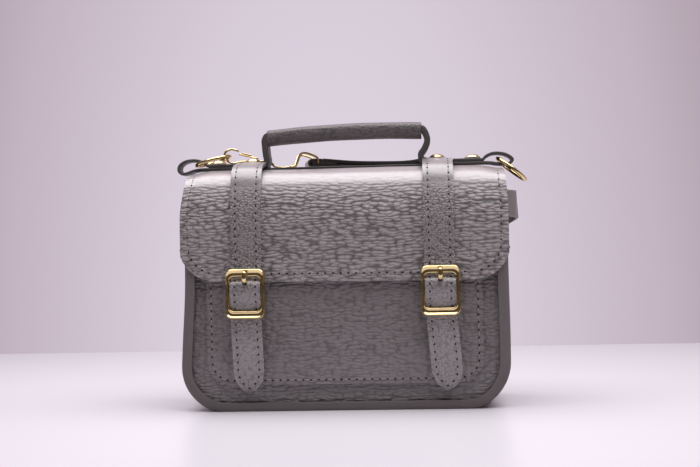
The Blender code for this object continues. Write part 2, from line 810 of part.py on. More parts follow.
def make_prong(side, tag):
    """A wire eye round the bar and a pin through the strap's hole, its tip on the top bar."""
    x = side * STRAP_X
    eye = BAR_RADIUS + GAP + PRONG_EYE_WIRE
    tip_y = frame_middle_y(BAR_STEP) + BUCKLE_DEEP / 2 + GAP + PRONG_RADIUS
    tip_z = BAR_Z + BAR_STEP + PRONG_REACH
    points = []
    shares = []
    for step in range(11):
        angle = math.radians(60 - 30 * step)
        points.append((BAR_Y + eye * math.cos(angle), BAR_Z + eye * math.sin(angle)))
        shares.append(PRONG_EYE_WIRE / PRONG_RADIUS)
    points.reverse()
    root_y, root_z = points[-1]
    for out, up in PRONG_SHAPE_SHARES:
        points.append((blend_between(root_y, tip_y, out), blend_between(root_z, tip_z, up)))
        shares.append(0.6 if up == 1 else 1)
    wire(f"prong_{tag}", [(x, -y, z) for y, z in points], PRONG_RADIUS, gold, radii_shares=shares, sides=2)


def make_snap(side, tag):
    """The magnetic snap behind a buckle: a dished socket on the pocket and a nosed stud on the chape."""
    x = side * STRAP_X
    socket = turned(f"snap_socket_{tag}", [
        (0, SOCKET_THICK / 2), (SOCKET_DIMPLE, SOCKET_THICK / 2), (SOCKET_DIMPLE, SOCKET_THICK),
        (SNAP_RADIUS, SOCKET_THICK), (SNAP_RADIUS, 0), (0, 0)], 20, gold)
    socket.rotation_euler.x = math.pi / 2
    socket.location = (x, -POCKET_FACE - GAP, SNAP_Z)
    nose = SOCKET_THICK / 2 - GAP
    stud = turned(f"snap_stud_{tag}", [
        (0, STUD_THICK), (SNAP_RADIUS, STUD_THICK), (SNAP_RADIUS, 0), (STUD_NOSE, 0),
        (STUD_NOSE, -nose), (0, -nose)], 20, gold)
    stud.rotation_euler.x = math.pi / 2
    stud.location = (x, -POCKET_FACE - GAP - SOCKET_THICK - GAP, SNAP_Z)


# Handle
def make_handle():
    half = BASE_STRIP_LENGTH / 2

    def strip_place(u, v):
        return on_flap((u * 2 - 1) * half, (0.5 - v) * BASE_STRIP_WIDTH, GAP + BASE_STRIP_THICK / 2)

    strip = sheet("handle_base_strip", strip_place, 1, 4, BASE_STRIP_THICK, dark_leather)
    cut_for_stem(strip, STRAP_X)
    cut_for_stem(strip, -STRAP_X)
    half_grip = GRIP_LENGTH / 2
    points = []
    for step in range(9):
        share = step / 4 - 1
        points.append((half_grip * share, 0, -GRIP_CROWN * share * share))
    grip = wire("handle_grip", points, GRIP_HEIGHT / 2, leather, sides=4)
    grip.location.z = GRIP_Z
    grip.scale.y = GRIP_WIDTH / GRIP_HEIGHT
    foot_z = FLAP_CROWN_HEIGHT + STRIP_LIFT + GAP
    foot_top = foot_z + FOOT_THICK
    grip_end_z = GRIP_Z - GRIP_CROWN
    for side, tag in ((-1, "left"), (1, "right")):
        leg_points = [
            (half_grip + LEG_THICK * 0.7, grip_end_z + GRIP_ROOT),
            (half_grip + LEG_THICK, grip_end_z + GRIP_ROOT / 2),
            (LEG_BULGE - LEG_THICK / 2, grip_end_z - GRIP_ROOT),
            (LEG_BULGE - LEG_THICK / 2, grip_end_z - GRIP_ROOT * 3),
            (LEG_WAIST, blend_between(foot_top, grip_end_z, 0.22)), (LEG_WAIST, foot_top + GAP)]
        path = smooth_path([(x, 0, z) for x, z in leg_points], LEG_THICK)

        def leg_place(u, v, path=path, side=side):
            point = path[round(u * (len(path) - 1))]
            return Vector((side * point.x, (v - 0.5) * LEG_WIDTH, point.z))

        sheet(f"handle_leg_{tag}", leg_place, len(path) - 1, 1, LEG_THICK, dark_leather)

        def foot_place(u, v, side=side):
            x = side * blend_between(STRAP_X - FOOT_INWARD, STRAP_X + FOOT_OUTWARD, u)
            return on_flap(x, (v - 0.5) * -LEG_WIDTH, STRIP_LIFT + GAP + FOOT_THICK / 2)

        foot = sheet(f"handle_foot_{tag}", foot_place, 1, 2, FOOT_THICK, dark_leather)
        cut_for_stem(foot, side * STRAP_X)


# Ring tabs, rings and rivets
def tab_path():
    """Middle line of a folded tab in X and Z: lower layer, loop round the ring, upper layer."""
    half = TAB_THICK / 2
    low = FLAP_CROWN_HEIGHT + GAP + half
    upper = low + TAB_THICK + GAP
    top = TAB_TOP - half
    reach = TAB_REACH - half
    rise = top - low
    length = reach - TAB_RIVET_X
    loop_shares = ((0.42, -0.02), (0.62, -0.15), (0.82, -0.20), (0.95, -0.05), (1.0, 0.25), (0.95, 0.58),
                   (0.80, 0.87), (0.60, 1.0), (0.44, 0.94), (0.32, 0.68), (0.25, 0.32))
    points = [(TAB_INNER, low), (TAB_RIVET_X, low)]
    points += [(TAB_RIVET_X + length * along, low + rise * high) for along, high in loop_shares]
    points += [(TAB_RIVET_X + RIVET_RADIUS, upper), (TAB_RIVET_X, upper), (TAB_INNER, upper)]
    return smooth_path([(x, 0, z) for x, z in points], TAB_THICK * 1.5)


def make_tab(side, tag):
    path = tab_path()

    def place(u, v):
        point = path[round(u * (len(path) - 1))]
        return Vector((side * point.x, (v - 0.5) * side * -TAB_WIDTH, point.z))

    tab = sheet(f"ring_tab_{tag}", place, len(path) - 1, 1, TAB_THICK, dark_leather)
    cut_for_stem(tab, side * TAB_RIVET_X)


def make_ring(tag, x, tilt):
    """A ring whose origin is in the wire that the tab holds; tilt is its lean from +X."""
    pivot = Vector((x, 0, FLAP_CROWN_HEIGHT + RING_HEIGHT))
    bpy.ops.mesh.primitive_torus_add(major_radius=RING_RADIUS, minor_radius=RING_WIRE,
                                     major_segments=36, minor_segments=10)
    ring = bpy.context.active_object
    ring.name = f"ring_{tag}"
    ring.data.transform(Matrix.Translation((RING_RADIUS, 0, 0)))
    ring.data.materials.append(gold(ring.name))
    place_in(ring, PARTS)
    ring.location = pivot
    ring.rotation_euler.y = -tilt
    smooth_shade(ring)


def make_rivet(name, x, seat):
    """A domed head, a stem through the leather and a flat cap inside the flap."""
    steps = 5
    rise = RIVET_DOME
    radius = (RIVET_RADIUS * RIVET_RADIUS + rise * rise) / (2 * rise)
    profile = []
    for step in range(steps + 1):
        out = RIVET_RADIUS * math.sin(math.pi / 2 * step / steps)
        profile.append((out, seat + GAP + rise - radius + math.sqrt(radius * radius - out * out)))
    inside = FLAP_CROWN_HEIGHT - FLAP_THICK - 2 * GAP - edge_drop(x)
    profile[-1] = (RIVET_RADIUS, seat + GAP + OVERRUN / 10)
    profile += [(RIVET_RADIUS, seat + GAP), (RIVET_STEM, seat + GAP), (RIVET_STEM, inside),
                (RIVET_CAP_RADIUS, inside), (RIVET_CAP_RADIUS, inside - RIVET_CAP_THICK),
                (0, inside - RIVET_CAP_THICK)]
    rivet = turned(name, profile, 20, gold)
    rivet.location.x = x


def make_rivets():
    strap_seat = FLAP_CROWN_HEIGHT + STRAP_LIFT + STRAP_THICK
    tab_seat = FLAP_CROWN_HEIGHT + 2 * (GAP + TAB_THICK)
    for side, tag in ((-1, "left"), (1, "right")):
        make_rivet(f"strap_rivet_{tag}", side * STRAP_X, strap_seat)
        make_rivet(f"tab_rivet_{tag}", side * TAB_RIVET_X, tab_seat)


# Snap clips: hook, gate and eye, drawn lying along +X with the gate side up
def gate_hinge():
    """Where a clip's gate pivots, from its barrel."""
    return Vector((HOOK_LENGTH * 0.50, 0, HOOK_RISE * 0.37 + CLIP_WIRE + GATE_WIRE + GAP))


def make_clip(tag, place, turn, roll):
    """A clip whose barrel is at place; its hook can be rolled about the swivel. Returns its eye's bar."""
    eye_matrix = Matrix.Translation(place) @ Matrix.Rotation(turn, 4, "Z")
    matrix = eye_matrix @ Matrix.Rotation(roll, 4, "X")
    hook_shares = ((0.20, 0.04), (0.26, 0.10), (0.31, 0.30), (0.36, 0.345), (0.53, 0.37), (0.75, 0.35),
                   (0.87, 0.28), (0.96, 0.42), (1.0, 0.67), (0.97, 0.90), (0.90, 1.0), (0.82, 0.95),
                   (0.785, 0.88))
    neck = BARREL_LENGTH / 2 + COLLAR_LENGTH
    points = [(BARREL_LENGTH / 2 + GAP, 0), (neck, 0)]
    points += [(HOOK_LENGTH * along, HOOK_RISE * high) for along, high in hook_shares]
    path = smooth_path([(x, 0, z) for x, z in points], CLIP_WIRE * 2.4)
    shares = [COLLAR_RADIUS / CLIP_WIRE if point.x < neck and point.z < CLIP_WIRE else 1 for point in path]
    hook = wire(f"{tag}_hook", path, CLIP_WIRE, gold, radii_shares=shares, sides=2)
    hook.matrix_world = matrix

    hinge = gate_hinge()
    tip = Vector((HOOK_LENGTH * 0.785, 0, HOOK_RISE * 0.88 - CLIP_WIRE - GATE_WIRE - GAP))
    gate = wire(f"{tag}_gate", [hinge.lerp(tip, share) for share in (0, 0.5, 1)], GATE_WIRE, gold, sides=2)
    gate.matrix_world = matrix
    gate = to_mesh(gate)
    lean = math.atan2(tip.z - hinge.z, tip.x - hinge.x)
    middle = hinge.lerp(tip, 0.62) + Vector((-math.sin(lean), 0, math.cos(lean))) * THUMB_LIFT / 2
    thumb = box(f"{tag}_thumb", (THUMB_LENGTH, THUMB_THICK, THUMB_WIDTH / 2), (0, 0, 0), gold)
    thumb.matrix_world = matrix @ Matrix.Translation(middle) @ Matrix.Rotation(-lean, 4, "Y")
    join_with(gate, thumb)

    bpy.ops.mesh.primitive_cylinder_add(vertices=14, radius=BARREL_RADIUS, depth=BARREL_LENGTH)
    barrel = bpy.context.active_object
    barrel.name = f"{tag}_barrel"
    barrel.data.transform(Matrix.Rotation(math.pi / 2, 4, "Y"))
    barrel.data.materials.append(gold(barrel.name))
    barrel.matrix_world = eye_matrix
    half = SHOULDER_WIDTH / 2 + 2 * GAP + CLIP_WIRE
    root = BARREL_LENGTH / 2
    right = [(-root, 0, 0), (-EYE_REACH * 0.24, half * 0.45, EYE_RISE * 0.42),
             (-EYE_REACH * 0.34, half * 0.9, EYE_RISE * 0.86), (-EYE_REACH * 0.48, half, EYE_RISE),
             (-EYE_REACH * 0.68, half, EYE_RISE * 0.93), (-EYE_REACH * 0.94, half, EYE_BAR_RISE * 1.15),
             (-EYE_REACH, half * 0.93, EYE_BAR_RISE), (-EYE_REACH, half * 0.45, EYE_BAR_RISE)]
    right = smooth_path(right, CLIP_WIRE * 3.2)
    left = [Vector((point.x, -point.y, point.z)) for point in reversed(right[1:])]
    eye = wire(f"{tag}_eye", [tuple(point) for point in right + left], CLIP_WIRE, gold, closed=True, sides=2)
    eye.matrix_world = eye_matrix
    place_in(barrel, PARTS)
    eye = to_mesh(eye)
    join_with(eye, barrel)
    return eye_matrix @ Vector((-EYE_REACH, 0, EYE_BAR_RISE))


# Shoulder strap
# Its way over the flap: X, distance behind the crown line, height of its front and back edges' middles
TOP_ROUTE = (
    (-0.0165, 0.0166, 0.0064, 0.0077), (-0.0100, 0.0180, 0.0059, 0.0068), (0.0000, 0.0194, 0.0051, 0.0056),
    (0.0100, 0.0200, 0.0045, 0.0047), (0.0250, 0.0210, 0.0042, 0.0040), (0.0360, 0.0215, 0.0042, 0.0036),
    (0.0430, 0.0219, 0.0048, 0.0035), (0.0490, 0.0227, 0.0060, 0.0036), (0.0570, 0.0250, 0.0057, 0.0036),
    (0.0630, 0.0285, 0.0048, 0.0036), (0.0690, 0.0335, 0.0036, 0.0036), (0.0745, 0.0385, 0.0024, 0.0034),
    (0.0800, 0.0435, 0.0017, 0.0022), (0.0850, 0.0480, 0.0015, 0.0017), (0.0905, 0.0521, 0.0015, 0.0015),
    (0.0960, 0.0553, 0.0016, 0.0016), (0.1005, 0.0567, 0.0018, 0.0017))

# Its way on behind the bag: round past the right edge, back and down to the surface
BACK_ROUTE = (
    (0.1050, 0.0435, 0.1268), (0.1090, 0.0456, 0.1265), (0.1115, 0.0489, 0.1262), (0.1123, 0.0525, 0.1257),
    (0.1108, 0.0565, 0.1248), (0.1060, 0.0592, 0.1224), (0.0980, 0.0598, 0.1180), (0.0850, 0.0578, 0.1100),
    (0.0700, 0.0542, 0.1000), (0.0520, 0.0510, 0.0870), (0.0320, 0.0490, 0.0720), (0.0120, 0.0480, 0.0565),
    (-0.0080, 0.0476, 0.0415), (-0.0260, 0.0474, 0.0290), (-0.0420, 0.0474, 0.0190), (-0.0560, 0.0476, 0.0122),
    (-0.0660, 0.0480, 0.0096))


def coil_route():
    """The spare length, standing on its edge in flat loops that turn inwards behind the bag."""
    height = SHOULDER_WIDTH / 2 + GAP
    points = []
    y = COIL_FIRST_Y
    side = -1
    outward = 1
    for radius in COIL_RADII:
        for step in range(COIL_POINTS + 1):
            angle = math.pi * step / COIL_POINTS
            points.append(Vector((side * (COIL_HALF + radius * math.sin(angle)),
                                  y + outward * radius * (1 - math.cos(angle)), height)))
        y += 2 * outward * radius
        outward = -outward
        side = -side
    return points


def far_run(start):
    """The last length, straight towards the far clip."""
    end = FAR_BAR_X - FOLD_START
    return [Vector((blend_between(start.x, end, step / 5), start.y, start.z)) for step in range(1, 6)]


def path_direction(points, index):
    return (points[min(index + 1, len(points) - 1)] - points[max(index - 1, 0)]).normalized()


def top_rows():
    """Rows of points across the strap over the flap, finely spaced, and each row's distance past the hinge."""
    columns = SHOULDER_COLUMNS
    centre = smooth_path([(x, back, 0) for x, back, front_lift, back_lift in TOP_ROUTE], ROUTE_STEP / 8)
    lifts = smooth_path([(x, front_lift, back_lift) for x, back, front_lift, back_lift in TOP_ROUTE], ROUTE_STEP / 8)
    onward = centre[-1] - centre[-2]
    while centre[-1].y - SHOULDER_WIDTH / 2 < HINGE_S + GAP:
        centre.append(centre[-1] + onward)
    rows = []
    for index, point in enumerate(centre):
        direction = path_direction(centre, index)
        nearest = min(lifts, key=lambda entry, x=point.x: abs(entry.x - x))
        row = []
        for column in range(columns + 1):
            share = column / columns
            offset = (share - 0.5) * SHOULDER_WIDTH
            x = point.x - direction.y * offset
            back = point.y + direction.x * offset
            row.append((on_flap(x, -back, blend_between(nearest.y, nearest.z, share)), back))
        rows.append(row)
    return centre, rows


def fold_turn():
    """Radius of the middle of the leather round a clip's bar."""
    return CLIP_WIRE + GAP + SHOULDER_THICK / 2


def far_bar_height():
    return FAR_CLIP_HEIGHT + EYE_BAR_RISE


def back_rows(first):
    """Rows across the strap from the flap's rear hinge to the coil, then round the coil to the far clip."""
    route = smooth_path([first] + [Vector(point) for point in BACK_ROUTE], ROUTE_STEP)
    coil = resample(coil_route(), ROUTE_STEP)
    end = smooth_path([coil[-1]] + far_run(coil[-1]), ROUTE_STEP)
    points = route + coil + end[1:]
    flat_from = len(route) + len(coil)
    rows = []
    for index, point in enumerate(points):
        direction = path_direction(points, index)
        left = Vector((-direction.y, direction.x, 0)).normalized()
        if index < len(route) // 2:
            across = direction.cross(left)
        else:
            across = left.cross(direction) * -1
        if index >= flat_from:
            lie = math.pi / 2 * smooth_step((index - flat_from) / (len(end) * TURN_OVER_SHARE))
            rise = smooth_step((index - len(points) + len(end) * LIE_FLAT_SHARE) / (len(end) * LIE_FLAT_SHARE))
            low = blend_between(SHOULDER_THICK * 1.5 + 3 * GAP, far_bar_height() + fold_turn(), rise)
            across = (across * math.cos(lie) + left * math.sin(lie)).normalized()
            point.z = (SHOULDER_WIDTH / 2 + GAP) * math.cos(lie) + low * math.sin(lie)
        rows.append([point - across * SHOULDER_WIDTH * (share - 0.5) * -1 for share in (0, 0.5, 1)])
    return points, rows, len(route)


def strip(name, rows, finish):
    """A strap laid through rows of points, each row from its front edge to its back edge."""
    def place(u, v):
        row = rows[round(u * (len(rows) - 1))]
        return row[round(v * (len(row) - 1))]

    return sheet(name, place, len(rows) - 1, len(rows[0]) - 1, SHOULDER_THICK, finish)


def make_shoulder_strap():
    centre, fine = top_rows()
    columns = len(fine[0])
    crossings = []
    for column in range(columns):
        crossings.append(next(index for index, row in enumerate(fine) if row[column][1] > HINGE_S - GAP))
    last_whole = min(crossings) - 24
    top = [[point for point, back in fine[index]] for index in range(0, last_whole, 8)]
    closing = 8
    for step in range(closing + 1):
        row = []
        for column in range(columns):
            index = round(blend_between(last_whole, crossings[column], step / closing))
            row.append(fine[index][column][0])
        top.append(row)
    strip("shoulder_strap_top", top, leather)

    leave = fine[-1]
    middle = leave[columns // 2][0]
    points, rows, coil_start = back_rows(middle)
    lead = []
    starts = [next(index for index, row in enumerate(fine) if row[column][1] > HINGE_S + GAP)
              for column in (0, columns // 2, columns - 1)]
    for step in range(7):
        row = []
        for column, start in zip((0, columns // 2, columns - 1), starts):
            index = round(blend_between(start, len(fine) - 1, step / 7))
            row.append(fine[index][column][0])
        lead.append(row)
    strip("shoulder_strap_back", lead + rows[:coil_start], leather)
    cut = 3 * GAP / ROUTE_STEP
    opening = [one.lerp(two, cut) for one, two in zip(rows[coil_start - 1], rows[coil_start])]
    strip("shoulder_strap_coil", [opening] + rows[coil_start:], leather)
    line = [on_flap(point.x, -point.y, 0) for point in centre] + points
    total = sum((two - one).length for one, two in zip(line, line[1:]))
    print(f"shoulder strap: {total:.3f} m along its middle")
    report_least_gap(points)
    near = [(row[0], row[-1]) for row in top]
    far = [(row[0], row[-1]) for row in reversed(rows)]
    return near, far


def report_least_gap(points):
    """The least clear distance between two passes of the strap that are not neighbours along it."""
    apart = round(3 * SHOULDER_WIDTH / ROUTE_STEP)
    least = min((points[one] - points[two]).length
                for one in range(len(points)) for two in range(one + apart, len(points)))
    print(f"shoulder strap: least gap to itself {1000 * (least - SHOULDER_THICK):.2f} mm")


def make_fold(name, bar, strap, finish):
    """The strap's turned-back end: round the clip's bar, then a layer below the strap."""
    up = Vector((0, 0, 1))
    across = (strap[0][1] - strap[0][0]).normalized()
    direction = ((strap[1][0] + strap[1][1]) - (strap[0][0] + strap[0][1])).normalized()
    direction = (direction - up * direction.dot(up)).normalized()
    turn = fold_turn()
    half = across * SHOULDER_WIDTH / 2
    rows = [[edge - direction * 2 * GAP for edge in strap[0]]]
    for step in range(11):
        angle = math.pi / 2 + math.pi * step / 10
        middle = bar + direction * turn * math.cos(angle) + up * turn * math.sin(angle)
        rows.append([middle - half, middle + half])
    run = 0
    for before, row in zip(strap, strap[1:]):
        run += (row[0] + row[1] - before[0] - before[1]).length / 2
        if run > FOLD_LENGTH:
            break
        apart = blend_between(2 * turn, SHOULDER_THICK + 2 * GAP, smooth_step(run / FOLD_CLOSE))
        rows.append([edge - up * apart for edge in row])
    strip(name, rows, finish)


make_gusset()
make_panels()
make_lining()
make_base_board()
make_front_pocket()
make_flap_top()
make_flap_front()
make_flap_hem()
make_handle()
for side_sign, side_name in ((-1, "left"), (1, "right")):
    make_strap(side_sign, side_name)
    make_buckle(side_sign, side_name)
    make_chape(side_sign, side_name)
    make_prong(side_sign, side_name)
    make_snap(side_sign, side_name)
    make_tab(side_sign, side_name)
make_ring("left", -RING_X_LEFT, RING_TILT_LEFT)
make_ring("right", RING_X_RIGHT, RING_TILT_RIGHT)
make_rivets()
near_strap, far_strap = make_shoulder_strap()
near_bar = make_clip("near_clip", NEAR_CLIP_PLACE, math.pi + NEAR_CLIP_TURN, 0)
far_place = Vector((FAR_BAR_X + EYE_REACH, far_strap[0][0].y / 2 + far_strap[0][1].y / 2, FAR_CLIP_HEIGHT))
far_bar = make_clip("far_clip", far_place, 0, math.pi / 2)
make_fold("strap_fold_near", near_bar, near_strap, leather)
make_fold("strap_fold_far", far_bar, far_strap, leather)


def both(*stems):
    return [f"{stem}_{tag}" for stem in stems for tag in ("left", "right")]


lift_axis = joint_axis("flap_lift_axis", (0, REAR_HINGE_Y, HINGE_Z), [
    "flap_top", "handle_base_strip", "shoulder_strap_top", "strap_fold_near", "near_clip_eye"]
    + both("strap_top", "handle_foot", "handle_leg", "ring_tab", "strap_rivet", "tab_rivet", "ring"))
fold_axis = joint_axis("flap_fold_axis", (0, -FRONT_HINGE_Y, HINGE_Z), ["flap_front"]
                       + both("strap_front", "buckle", "chape", "snap_stud"), lift_axis)
for side_sign, side_name in ((-1, "left"), (1, "right")):
    joint_axis(f"prong_axis_{side_name}", (side_sign * STRAP_X, -BAR_Y, BAR_Z), [f"prong_{side_name}"], fold_axis)
joint_axis("handle_slide", (0, 0, GRIP_Z), ["handle_grip"], lift_axis)
for clip, barrel_place, parent in (("near_clip", NEAR_CLIP_PLACE, lift_axis), ("far_clip", far_place, None)):
    hook_piece = PARTS.objects[f"{clip}_hook"]
    gate_place = hook_piece.matrix_world @ gate_hinge()
    swivel = joint_axis(f"{clip}_swivel", barrel_place, [f"{clip}_hook"], parent)
    joint_axis(f"{clip}_gate_hinge", gate_place, [f"{clip}_gate"], swivel)
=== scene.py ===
# %% [markdown]
# A small leather satchel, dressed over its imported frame. The frame gives every piece its place: this lesson
# lays leather, thread and metal over it, and never moves it. All lengths are in metres, +Z is up and the
# front of the bag faces -Y.

# %% Load the frame
import math

import bmesh
import bpy
from mathutils import Matrix, Vector, noise


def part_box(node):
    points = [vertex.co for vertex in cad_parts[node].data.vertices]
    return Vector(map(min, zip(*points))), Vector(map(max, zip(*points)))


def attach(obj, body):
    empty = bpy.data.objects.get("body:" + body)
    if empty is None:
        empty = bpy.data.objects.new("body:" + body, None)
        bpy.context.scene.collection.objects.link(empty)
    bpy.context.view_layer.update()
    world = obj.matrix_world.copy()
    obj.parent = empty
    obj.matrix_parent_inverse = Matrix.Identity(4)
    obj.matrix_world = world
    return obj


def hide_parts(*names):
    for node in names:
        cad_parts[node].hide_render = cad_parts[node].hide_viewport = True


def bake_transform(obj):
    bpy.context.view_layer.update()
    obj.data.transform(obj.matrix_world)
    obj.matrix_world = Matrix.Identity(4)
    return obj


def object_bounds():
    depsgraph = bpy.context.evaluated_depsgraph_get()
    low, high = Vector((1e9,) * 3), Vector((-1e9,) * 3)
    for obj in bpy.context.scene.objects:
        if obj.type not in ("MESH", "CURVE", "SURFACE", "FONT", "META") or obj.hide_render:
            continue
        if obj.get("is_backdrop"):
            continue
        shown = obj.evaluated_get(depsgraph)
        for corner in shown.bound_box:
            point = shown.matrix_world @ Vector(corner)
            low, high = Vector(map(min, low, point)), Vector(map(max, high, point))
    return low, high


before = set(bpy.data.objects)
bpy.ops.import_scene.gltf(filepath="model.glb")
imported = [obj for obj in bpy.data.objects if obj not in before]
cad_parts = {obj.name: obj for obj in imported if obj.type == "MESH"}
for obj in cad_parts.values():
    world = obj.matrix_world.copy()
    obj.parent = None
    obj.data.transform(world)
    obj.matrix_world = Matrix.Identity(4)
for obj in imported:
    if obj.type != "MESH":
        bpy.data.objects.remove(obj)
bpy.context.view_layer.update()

# %% [markdown]
# The camera stands 0.8 m in front of the bag, a little to its right and barely above half its height, as
# somebody who looks at a shelf. Its direction is built from an azimuth, a pitch and a small roll.

# %% Place the camera
CAMERA_DISTANCE = 0.800
CAMERA_AZIMUTH = math.radians(3.67)
CAMERA_HEIGHT = 0.100
CAMERA_YAW = math.radians(-0.17)
CAMERA_PITCH = math.radians(0.58)
CAMERA_ROLL = math.radians(-1.20)
CAMERA_LENS = 64.2

heading = CAMERA_AZIMUTH + CAMERA_YAW
forward = Vector((-math.sin(heading) * math.cos(CAMERA_PITCH), math.cos(heading) * math.cos(CAMERA_PITCH),
                  math.sin(CAMERA_PITCH)))
right = Vector((math.cos(heading), math.sin(heading), 0))
upward = right.cross(forward)
level, plumb = right, upward
right = level * math.cos(CAMERA_ROLL) + plumb * math.sin(CAMERA_ROLL)
upward = plumb * math.cos(CAMERA_ROLL) - level * math.sin(CAMERA_ROLL)

bpy.ops.object.camera_add(location=(CAMERA_DISTANCE * math.sin(CAMERA_AZIMUTH),
                                    -CAMERA_DISTANCE * math.cos(CAMERA_AZIMUTH), CAMERA_HEIGHT))
camera = bpy.context.active_object
camera.rotation_mode = "QUATERNION"
camera.rotation_quaternion = Matrix((right, upward, -forward)).transposed().to_quaternion()
camera.data.lens = CAMERA_LENS
camera.data.sensor_width = 36
camera.data.clip_start = 0.01
bpy.context.scene.camera = camera
print("camera at", [round(value, 3) for value in camera.location])

# %% [markdown]
# Several pieces are strips of leather that follow a smooth line. Two small tools read such a line: one
# draws a smooth curve through a few given points and the other takes points from it at an even step.

# %% Tools for smooth lines
SPLINE_PIECES = 24


def between(low, high, share):
    return low + (high - low) * share


def smooth_step(share):
    share = min(max(share, 0), 1)
    return share * share * (3 - 2 * share)


def even_stops(fine, step):
    """Stops at an even step along a finely drawn line: the point before each, and the share past it."""
    lengths = [0]
    for one, two in zip(fine, fine[1:]):
        lengths.append(lengths[-1] + (two - one).length)
    count = max(2, round(lengths[-1] / step))
    stops = []
    place = 0
    for number in range(count + 1):
        target = lengths[-1] * number / count
        while place < len(fine) - 2 and lengths[place + 1] < target:
            place += 1
        span = lengths[place + 1] - lengths[place]
        share = 0 if span == 0 else (target - lengths[place]) / span
        stops.append((place, min(max(share, 0), 1)))
    return stops


def even_points(fine, step):
    """Points at an even step along a finely drawn line."""
    return [fine[place].lerp(fine[place + 1], share) for place, share in even_stops(fine, step)]


def smooth_path(points, step):
    """Points at an even step along a smooth curve through the given ones (centripetal spline)."""
    points = [Vector(point) for point in points]
    padded = [points[0] * 2 - points[1]] + points + [points[-1] * 2 - points[-2]]
    fine = []
    for index in range(1, len(padded) - 2):
        before, start, end, after = padded[index - 1:index + 3]
        knots = [0]
        for one, two in ((before, start), (start, end), (end, after)):
            knots.append(knots[-1] + math.sqrt((two - one).length))
        for piece in range(SPLINE_PIECES):
            now = between(knots[1], knots[2], piece / SPLINE_PIECES)
            first = before.lerp(start, (now - knots[0]) / (knots[1] - knots[0]))
            second = start.lerp(end, (now - knots[1]) / (knots[2] - knots[1]))
            third = end.lerp(after, (now - knots[2]) / (knots[3] - knots[2]))
            left_arm = first.lerp(second, (now - knots[0]) / (knots[2] - knots[0]))
            right_arm = second.lerp(third, (now - knots[1]) / (knots[3] - knots[1]))
            fine.append(left_arm.lerp(right_arm, (now - knots[1]) / (knots[2] - knots[1])))
    fine.append(points[-1])
    return even_points(fine, step)


# %% [markdown]
# The frame's own nodes give the sizes that everything else follows: where the flap's face and crown are,
# how deep the bag is and where its straps and rivets stand.

# %% Read the main sizes from the frame
GAP = 0.0003
flap_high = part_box("flap_top")[1]
face_low, face_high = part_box("flap_front")
body_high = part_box("gusset")[1]
pocket_low, pocket_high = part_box("front_pocket")
strap_low, strap_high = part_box("strap_front_right")
HALF_WIDTH = body_high.x
HALF_DEPTH = body_high.y
RIM_HEIGHT = body_high.z
CROWN_HEIGHT = flap_high.z
FLAP_FACE = -face_low.y
FLAP_THICK = face_high.y - face_low.y
FLAP_FOOT = face_low.z
POCKET_FACE = -pocket_low.y
STRAP_X = (strap_low.x + strap_high.x) / 2
STRAP_WIDTH = strap_high.x - strap_low.x
STRAP_TIP = strap_low.z
STRAP_THICK = 0.0018
CROWN_ANGLE = math.radians(9.0)
FLAP_BEND = 0.0095
CROWN_RADIUS = (FLAP_FACE - FLAP_BEND + FLAP_BEND * math.sin(CROWN_ANGLE)) / math.sin(CROWN_ANGLE)
JUNCTION_Z = CROWN_HEIGHT - CROWN_RADIUS * (1 - math.cos(CROWN_ANGLE))
BEND_Z = JUNCTION_Z - FLAP_BEND * math.cos(CROWN_ANGLE)
CROWN_ARC = CROWN_RADIUS * CROWN_ANGLE
FACE_START = CROWN_ARC + FLAP_BEND * (math.pi / 2 - CROWN_ANGLE)
HINGE_DROP = 0.0004
HINGE_S = FACE_START + HINGE_DROP
HINGE_Z = BEND_Z - HINGE_DROP
HEM_LENGTH = HINGE_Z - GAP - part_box("flap_hem")[0].z
EDGE_DROP = 0.0022
EDGE_DROP_RUN = 0.017
EDGE_DROP_START = HALF_WIDTH - EDGE_DROP_RUN
print("flap face", round(FLAP_FACE, 4), "crown", round(CROWN_HEIGHT, 4), "hinge", round(HINGE_Z, 4))

# %% [markdown]
# The flap, its straps and the shoulder strap all lie on one cross-section: a shallow crown, two tight bends
# and two hanging faces. A point on it is named by x and by s, how far along the leather it is from the
# crown. The body below is soft too: its front leans back and its sides draw in a little.

# %% The flap's cross-section
SETBACK = 0.0053
SETBACK_FOOT = 0.110
SETBACK_RUN = 0.028
SETBACK_FADE = 0.030
SIDE_START = 0.084
SIDE_RUN = 0.009
LEFT_DRAWN = 0.0034
RIGHT_DRAWN = 0.0009
DRAWN_FROM = 0.004
DRAWN_RUN = 0.080


def setback(z, out):
    """How far the soft front leans back towards its top, at height z and distance out from the middle."""
    return SETBACK * max((z - SETBACK_FOOT) / SETBACK_RUN, 0) ** 2 * smooth_step(out / SETBACK_FADE)


def lean_back(piece):
    """Lean the body's front back as the flap does, and draw its sides in, the left one most."""
    for vertex in piece.data.vertices:
        if vertex.co.y < 0:
            vertex.co.y += setback(vertex.co.z, -vertex.co.y)
        share = smooth_step((abs(vertex.co.x) - SIDE_START) / SIDE_RUN)
        if vertex.co.x < 0:
            vertex.co.x += LEFT_DRAWN * smooth_step((vertex.co.z - DRAWN_FROM) / DRAWN_RUN) * share
        else:
            vertex.co.x -= RIGHT_DRAWN * share


